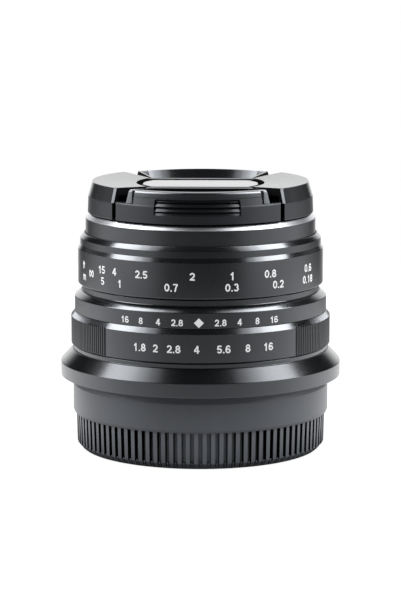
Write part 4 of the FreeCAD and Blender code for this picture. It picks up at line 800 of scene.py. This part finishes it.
class LENS_OT_pinch_levers(bpy.types.Operator):
    """The two pinch levers with their ridged grips, slanted ends and polished inner faces"""
    bl_idname = "lens.pinch_levers"
    bl_label = "Pinch levers"

    def execute(self, context):
        sizes = context.scene.lens_sizes
        for name, side in (("front", -1), ("rear", 1)):
            bm = bmesh.new()
            node_copy(bm, f"pinch_lever_{name}")
            self.narrow_wall(bm)
            self.deepen_grip(bm)
            self.round_grip_corners(bm)
            cut_off(bm, (0, 0, LEVER_JOIN * MM), (0, 0, 1))
            round_edges(bm, sizes.cap_edge_round, MOULDED_CORNER)
            upper = bmesh.new()
            spin_outline(upper, LEVER_OUTLINE, 48, (90 + 90 * side) - LEVER_SPAN, 2 * LEVER_SPAN)
            round_edges(upper, LEVER_ROUND * MM, LEVER_CORNER)
            join_mesh(bm, upper)
            paint_faces(bm, self.choose)
            for end in (1, -1):
                self.add_slanted_end(bm, side, end)
            turn_mesh(bm, sizes.cap_turn)
            finish_piece(bm, f"{name}_lever_shell", f"lever_{name}_body", "cap_plastic", f"pinch_lever_{name}",
                         CAP_FINISHES)
        return {"FINISHED"}

    @staticmethod
    def off_middle(spot):
        """Angle of a place from the lever's middle in degrees."""
        return math.degrees(math.atan2(abs(spot.x), abs(spot.y)))

    def narrow_wall(self, bm):
        """Moves the ends of the upper wall inwards to the span of the new upper part."""
        for vert in bm.verts:
            turn = self.off_middle(vert.co)
            if LEVER_SPAN < turn < 37.0 and vert.co.z > 55.1 * MM and reach_of(vert.co) > 23.0 * MM:
                back = math.radians(LEVER_SPAN - turn) * (1 if vert.co.x * vert.co.y < 0 else -1)
                vert.co.xy = (Matrix.Rotation(back, 2) @ vert.co.xy)

    def deepen_grip(self, bm):
        """Cuts the three steps of the grip deeper, so that each slopes more."""
        for vert in bm.verts:
            for height, old, new in GRIP_STEPS:
                if abs(vert.co.z / MM - height) < 0.004 and abs(reach_of(vert.co) / MM - old) < 0.02:
                    move_to_reach(vert, new * MM)
                    break

    def round_grip_corners(self, bm):
        """Rounds the two upper corners of the grip's recess."""
        corners = [edge for edge in bm.edges if edge.calc_length() > 0.3 * MM
                   and all(abs(vert.co.z / MM - GRIP_TOP) < 0.02
                           and abs(self.off_middle(vert.co) - GRIP_HALF_SPAN) < 0.3 for vert in edge.verts)]
        bevel_edges(bm, corners, GRIP_CORNER * MM, 4)

    def add_slanted_end(self, bm, side, end):
        """The stepped end of the upper wall, and the thin fin from it to the bridge."""
        rows = [[(reach * math.sin(math.radians(turn)), reach * math.cos(math.radians(turn)), height)
                 for reach, turn in corners] for height, corners in LEVER_END]
        # The ends take painted shade on most faces and a painted highlight on the facet set back from the wall
        self.add_stack(bm, rows, side, end, (SHADOW, CORNER_HIGHLIGHT, SHADOW, BOWL, SHADOW))
        foot = [(x, y, FIN_FOOT) for x, y, _ in FIN]
        self.add_stack(bm, [foot, FIN], side, end, (SHADOW, BOWL, SHADOW, SHADOW))

    def add_stack(self, bm, rows, side, end, numbers):
        """Closed body between rows of corners in millimetres, mirrored to its side and end."""
        rows = [[bm.verts.new((x * MM * end, y * MM * side, z * MM)) for x, y, z in row] for row in rows]
        faces = [bm.faces.new(rows[0]), bm.faces.new(rows[-1])]
        faces[0].material_index, faces[1].material_index = SHADOW, EDGE
        for low, high in zip(rows, rows[1:]):
            for corner, number in enumerate(numbers):
                following = (corner + 1) % len(numbers)
                face = bm.faces.new((low[corner], low[following], high[following], high[corner]))
                face.material_index = number
                faces.append(face)
        bmesh.ops.recalc_face_normals(bm, faces=faces)

    def choose(self, spot, reach, outward, upward):
        if spot.z > 57.5 and upward > 0.4:
            return EDGE
        if spot.z > 55.0 and outward < -0.5:
            return BOWL
        # Radius of the wall that the grip is sunk into
        wall = 24.34 - (spot.z - 51.4) * 0.0429 if spot.z < WING_FOLD else 24.19 - (spot.z - WING_FOLD) * 0.264
        # Painted shade, near black, on the grip's downward faces and on the inner faces below the bowl
        if self.off_middle(spot) < 22.5 and 52.9 < spot.z < 56.6 and 22.9 < reach < wall - 0.06:
            return SHADOW if upward < -0.5 else GRIP
        if reach < 22.9 and spot.z < 55.0:
            return SHADOW
        return None


# Scale figures: height of a row's middle, height of its digits, and each text with its angle from the front
FOCUS_FIGURES = (
    (40.9, 1.65, (("ft", -69.6), ("15", -51.9), ("4", -43.0), ("2.5", -27.8), ("2", -3.7), ("1", 14.4),
                  ("0.8", 33.5), ("0.6", 59.3))),
    (38.5, 1.65, (("m", -69.0), ("5", -51.2), ("1", -39.8), ("0.7", -13.3), ("0.3", 14.3), ("0.2", 38.0),
                  ("0.18", 59.2))),
    (39.55, 1.65, (("far", -60.8),)),
)
INDEX_FIGURES = (
    (31.3, 1.42, (("16", -35.5), ("8", -27.2), ("4", -18.9), ("2.8", -10.3), ("2.8", 8.8), ("4", 17.4),
                  ("8", 25.8), ("16", 34.3))),
)
APERTURE_FIGURES = (
    (25.85, 1.66, (("1.8", -27.0), ("2", -19.6), ("2.8", -11.5), ("4", -1.6), ("5.6", 9.9), ("8", 20.6),
                   ("16", 30.3))),
)
# Diamond of the index: angle, height of its middle and half its width
INDEX_DIAMOND = (-0.7, 31.3, 1.03)
# Width of a stroke for a digit of height 1
STROKE = 0.185


def arc(x, y, across, up, start, end, pieces=14):
    """Points of part of an ellipse; angles in degrees, anticlockwise from the right."""
    angles = [math.radians(start + (end - start) * number / pieces) for number in range(pieces + 1)]
    return [(x + across * math.cos(angle), y + up * math.sin(angle)) for angle in angles]


# Centre lines of the bold figures for a digit of height 1
FIGURES = {
    "0": [arc(0, 0.5, 0.245, 0.408, 0, 360, 26)],
    "1": [[(0.06, 0.0), (0.06, 1.0)], [(-0.20, 0.67), (-0.08, 0.74), (0.05, 0.90)]],
    "2": [arc(0, 0.66, 0.235, 0.248, 172, -28) + [(0.05, 0.36), (-0.20, 0.12)], [(-0.31, 0.092), (0.32, 0.092)]],
    "3": [arc(-0.01, 0.70, 0.215, 0.208, 160, -80), arc(0, 0.31, 0.245, 0.218, 80, -158)],
    "4": [[(0.12, 0.0), (0.12, 1.0)], [(-0.34, 0.30), (0.35, 0.30)], [(0.10, 0.93), (-0.27, 0.33)]],
    "5": [[(-0.20, 0.908), (0.27, 0.908)], [(-0.15, 0.93), (-0.22, 0.46)],
          arc(0, 0.325, 0.245, 0.233, 142, -158)],
    "6": [arc(0, 0.31, 0.243, 0.218, 0, 360, 24), arc(0.01, 0.5, 0.255, 0.408, 38, 205)],
    "7": [[(-0.29, 0.908), (0.30, 0.908)], [(0.24, 0.86), (0.08, 0.56), (-0.06, 0.0)]],
    "8": [arc(0, 0.715, 0.20, 0.193, 0, 360, 22), arc(0, 0.295, 0.245, 0.203, 0, 360, 24)],
    ".": [[(0.0, 0.0), (0.0, 0.19)]],
    "f": [[(0.0, 0.0), (0.0, 0.76)] + arc(0.13, 0.78, 0.13, 0.13, 180, 80, 6), [(-0.14, 0.67), (0.20, 0.67)]],
    "t": [[(-0.02, 0.93), (-0.02, 0.20)] + arc(0.11, 0.21, 0.13, 0.12, 180, 280, 6),
          [(-0.16, 0.67), (0.18, 0.67)]],
    "m": [[(-0.42, 0.0), (-0.42, 0.74)], arc(-0.21, 0.46, 0.21, 0.20, 180, 0, 8) + [(0.0, 0.0)],
          arc(0.21, 0.46, 0.21, 0.20, 180, 0, 8) + [(0.42, 0.0)]],
    "far": [[(0.50 * math.cos(turn), 0.5 + 0.38 * math.sin(2 * turn)) for turn in
             (math.tau * number / 40 for number in range(41))]],
}
# Width that a digit takes, and those of the others
DIGIT_WIDTH = 0.74
WIDTHS = {".": 0.36, "f": 0.42, "t": 0.42, "m": 1.16, "far": 1.3}


def wrap(verts, radius, angle, height):
    """Lays flat vertices (x across, y up, z out, in metres) round a cylinder."""
    for vert in verts:
        turn = math.radians(angle) + vert.co.x / radius
        reach = radius + vert.co.z
        vert.co = Vector((reach * math.sin(turn), -reach * math.cos(turn), height + vert.co.y))


def figure_mesh(text):
    """Flat strokes of a short text for a digit height of 1, centred across, as a new mesh."""
    letters = ["far"] if text == "far" else list(text)
    curve = bpy.data.curves.new("figure", "CURVE")
    curve.dimensions = "3D"
    curve.bevel_depth = STROKE / 2
    curve.bevel_resolution = 1
    curve.use_fill_caps = True
    widths = [WIDTHS.get(letter, DIGIT_WIDTH) for letter in letters]
    left = -sum(widths) / 2
    for letter, width in zip(letters, widths):
        for points in FIGURES[letter]:
            closed = math.dist(points[0], points[-1]) < 1e-6
            if closed:
                points = points[:-1]
            spline = curve.splines.new("POLY")
            spline.points.add(len(points) - 1)
            for point, (x, y) in zip(spline.points, points):
                point.co = (left + width / 2 + x, y, 0, 1)
            spline.use_cyclic_u = closed
        left += width
    source = new_object("figure", curve)
    bpy.context.view_layer.update()
    mesh = bpy.data.meshes.new_from_object(source.evaluated_get(bpy.context.evaluated_depsgraph_get()))
    bpy.data.objects.remove(source)
    bpy.data.curves.remove(curve)
    return mesh


def add_diamond(bm, half, thickness):
    """Adds a flat diamond of small squares, so that it can be wrapped, and returns its vertices."""
    old = set(bm.verts)
    bmesh.ops.create_grid(bm, x_segments=6, y_segments=6, size=half / math.sqrt(2),
                          matrix=Matrix.Rotation(math.radians(45), 4, "Z"))
    faces = {face for vert in others(bm, old) for face in vert.link_faces}
    pushed = bmesh.ops.extrude_face_region(bm, geom=list(faces))
    bmesh.ops.translate(bm, verts=only(pushed, bmesh.types.BMVert), vec=(0, 0, thickness))
    return others(bm, old)


def add_figure(bm, text, tall, thickness):
    """Adds a flat text of a digit height in metres, and returns its vertices."""
    mesh = figure_mesh(text)
    old = set(bm.verts)
    bm.from_mesh(mesh)
    bpy.data.meshes.remove(mesh)
    bmesh.ops.remove_doubles(bm, verts=others(bm, old), dist=1e-5)
    fresh = others(bm, old)
    for vert in fresh:
        vert.co.x *= tall
        vert.co.y = (vert.co.y - 0.5) * tall
        vert.co.z *= thickness / (STROKE / 2)
    return fresh


def figures(name, rows, radius, body, diamond=None):
    """One piece of all the painted figures on a ring."""
    thickness = bpy.context.scene.lens_sizes.paint_height
    bm = bmesh.new()
    for middle, tall, texts in rows:
        for text, angle in texts:
            wrap(add_figure(bm, text, tall * MM, thickness), radius * MM, angle, middle * MM)
    if diamond:
        angle, middle, half = diamond
        wrap(add_diamond(bm, half * MM, thickness), radius * MM, angle, middle * MM)
    bmesh.ops.recalc_face_normals(bm, faces=bm.faces)
    finish_piece(bm, name, body, None, None, ("paint",))


class LENS_OT_scales(bpy.types.Operator):
    """Painted figures of the focus, index and aperture scales"""
    bl_idname = "lens.scales"
    bl_label = "Scale figures"

    def execute(self, context):
        figures("focus_figures", FOCUS_FIGURES, 26.48, "focus_body")
        figures("index_figures", INDEX_FIGURES, 27.25, "lens_barrel", INDEX_DIAMOND)
        figures("aperture_figures", APERTURE_FIGURES, APERTURE_RADIUS, "aperture_body")
        return {"FINISHED"}


class LENS_OT_inner_finishes(bpy.types.Operator):
    """Finishes of the pieces that keep their own shape: glass, cells, blades, mount and screws"""
    bl_idname = "lens.inner_finishes"
    bl_label = "Inner finishes"

    def execute(self, context):
        for part in frame["record"]["subparts"]:
            materials = frame["nodes"][part["node"]].data.materials
            materials.clear()
            materials.append(finishes()[part["material_slot"]])
        return {"FINISHED"}


# Stage: floor, lamps, world and camera, in metres
CAMERA_PLACE = (0.0, -0.5757, 0.1245)
CAMERA_PITCH = math.radians(80.841)
CAMERA_LENS, CAMERA_SENSOR, CAMERA_START = 160.85, 36.0, 0.01
SOFTBOX_PLACE = (0.2960, -0.0277, 0.3932)
SOFTBOX_ALONG = (-0.433, 0.559, 0.7037)
SOFTBOX_FACING = (0.668, -0.323, 0.668)
SOFTBOX_LENGTH = 0.58
# Strips of a softbox: shift across, width, share of the light
SOFTBOX_STRIPS = ((0.0925, 0.15, 1.0), (-0.0125, 0.06, 0.9), (-0.0725, 0.06, 0.5), (-0.1325, 0.06, 0.2))
# Softboxes: name, side, radiance, shift outwards
SOFTBOXES = (("left softbox", -1, 6.8, 0.020), ("right softbox", 1, 7.1, 0.0))
FLOOR_RADIUS = 0.27
# Strengths of the white that the camera sees in the floor, of the matt light all round, and of the dim studio
FLOOR_WHITE, MATT_LIGHT, DIM_LIGHT = 0.86, 0.8, 0.02
WHITE = (1, 1, 1, 1)


def softbox(name, side, radiance, outwards):
    """A long soft lamp beside the lens, low in front and high behind, in strips that grow dimmer inwards."""
    along = Vector(SOFTBOX_ALONG).normalized()
    facing = Vector(SOFTBOX_FACING).normalized()
    outward = facing.cross(along).normalized()
    outward *= math.copysign(1.0, outward.x)
    axes = [Vector((axis.x * side, axis.y, axis.z)) for axis in (along, facing)]
    across = axes[0].cross(axes[1]).normalized()
    for number, (offset, width, share) in enumerate(SOFTBOX_STRIPS):
        lamp = bpy.data.lights.new(f"{name} {number}", "AREA")
        lamp.shape = "RECTANGLE"
        lamp.size, lamp.size_y = width, SOFTBOX_LENGTH
        lamp.energy = radiance * share * math.pi * lamp.size * lamp.size_y
        place = Vector(SOFTBOX_PLACE) + outward * (offset + outwards)
        place.x *= side
        holder = new_object(f"{name} {number}", lamp)
        holder.matrix_world = Matrix.Translation(place) @ Matrix((across, *axes)).transposed().to_4x4()


class LENS_OT_stage(bpy.types.Operator):
    """Pale floor, soft studio lamps, white surroundings and the camera"""
    bl_idname = "lens.stage"
    bl_label = "Stage"

    def execute(self, context):
        scene = context.scene
        self.make_floor(scene.lens_colours.floor)
        self.make_world(scene)
        for values in SOFTBOXES:
            softbox(*values)
        camera = bpy.data.cameras.new("camera")
        camera.lens, camera.sensor_width, camera.clip_start = CAMERA_LENS, CAMERA_SENSOR, CAMERA_START
        scene.camera = new_object("camera", camera)
        scene.camera.location = CAMERA_PLACE
        scene.camera.rotation_euler = (CAMERA_PITCH, 0, 0)
        scene.view_settings.view_transform = "Standard"
        return {"FINISHED"}

    def make_floor(self, colour):
        """White to the camera; to gloss it glows as painted light, brighter in front and beside, with a painted
        shadow that darkens it at the lens's foot.
        """
        bm = bmesh.new()
        bmesh.ops.create_circle(bm, cap_ends=True, cap_tris=False, segments=96, radius=FLOOR_RADIUS)
        floor = new_object("floor", new_mesh("floor", bm))
        material = bpy.data.materials.new("floor paper")
        floor.data.materials.append(material)
        paper = NodeTree(material)
        spot = paper.parts(paper.node("TexCoord").outputs["Object"])
        path = paper.node("LightPath").outputs
        reach = paper.axis_distance(spot)
        front = paper.slope(spot["Y"], -0.17, -0.11, 0.0, 0.27)
        beside = paper.slope(spot["Y"], -0.09, 0.03, 0.0, 0.75)
        behind = paper.slope(spot["Y"], 0.10, 0.17, 1.0, 0.1)
        near = paper.times(paper.slope(reach, 0.12, 0.18, 0.5, 0.0), paper.slope(spot["Y"], -0.09, -0.02))
        lit = paper.plus(paper.times(paper.plus(front, beside), behind), near)
        # Painted shadow: the glow seen in gloss fades to nothing at the lens's foot
        seen = paper.times(path["Is Glossy Ray"], paper.times(lit, paper.slope(reach, 0.027, 0.042)))
        shown = paper.times(path["Is Camera Ray"], FLOOR_WHITE)
        matt = paper.node("BsdfDiffuse", Color=(*shade(colour, 0.2), 1))
        glow = paper.node("Emission", Color=WHITE, Strength=paper.plus(seen, shown))
        both = paper.node("AddShader")
        for entry, shader in zip(both.inputs, (matt, glow)):
            paper.feed(entry, shader.outputs[0])
        paper.node("OutputMaterial", Surface=both.outputs["Shader"])

    def make_world(self, scene):
        """White to the camera, plain to matt surfaces, and a dim studio with white walls to gloss."""
        scene.world = bpy.data.worlds.new("surroundings")
        studio = NodeTree(scene.world)
        way = studio.parts(studio.node("TexCoord").outputs["Generated"])
        path = studio.node("LightPath").outputs
        sideways, level = (studio.maths("ABSOLUTE", way[axis]) for axis in ("X", "Z"))
        near_level = studio.slope(level, 0.14, 0.34, 1.0, 0.0)
        before = studio.slope(way["Y"], 0.30, 0.60, 0.95, 0.30)
        side_wall = studio.times(studio.slope(sideways, 0.50, 0.85), studio.times(near_level, before))
        straight = studio.plus(way["Y"], studio.times(studio.larger(way["Z"], 0.0), 0.27))
        back_wall = studio.times(studio.slope(straight, 0.88, 0.97, 0.0, 1.5),
                                 studio.slope(level, 0.2, 0.6, 1.0, 0.3))
        walls = studio.plus(studio.larger(side_wall, back_wall), DIM_LIGHT)
        matt = studio.times(path["Is Diffuse Ray"], MATT_LIGHT)
        clear = studio.larger(path["Is Camera Ray"], path["Is Transmission Ray"])
        gloss = studio.times(path["Is Glossy Ray"], walls)
        back = studio.node("Background", Color=WHITE, Strength=studio.larger(studio.larger(clear, matt), gloss))
        studio.node("OutputWorld", Surface=back.outputs["Background"])


class LENS_PT_panel(bpy.types.Panel):
    """Sizes, colours and steps of the lens"""
    bl_idname = "LENS_PT_panel"
    bl_label = "Prime lens"
    bl_space_type = "VIEW_3D"
    bl_region_type = "UI"
    bl_category = "Lens"

    def draw(self, context):
        for group in (context.scene.lens_sizes, context.scene.lens_colours):
            box = self.layout.box()
            for name in group.__annotations__:
                box.prop(group, name)
        for operator in OPERATORS:
            self.layout.operator(operator.bl_idname)


OPERATORS = (
    LENS_OT_inner_finishes,
    LENS_OT_rear_cap,
    LENS_OT_barrel,
    LENS_OT_aperture_ring,
    LENS_OT_focus_ring,
    LENS_OT_front_barrel,
    LENS_OT_front_cap,
    LENS_OT_pinch_levers,
    LENS_OT_scales,
    LENS_OT_stage,
)
CLASSES = (LensSizes, LensColours) + OPERATORS + (LENS_PT_panel,)


def register():
    for item in CLASSES:
        bpy.utils.register_class(item)
    bpy.types.Scene.lens_sizes = PointerProperty(type=LensSizes)
    bpy.types.Scene.lens_colours = PointerProperty(type=LensColours)


def unregister():
    del bpy.types.Scene.lens_colours
    del bpy.types.Scene.lens_sizes
    for item in reversed(CLASSES):
        bpy.utils.unregister_class(item)


def main():
    register()
    for operator in OPERATORS:
        group, name = operator.bl_idname.split(".")
        getattr(getattr(bpy.ops, group), name)()


if __name__ == "__main__":
    main()
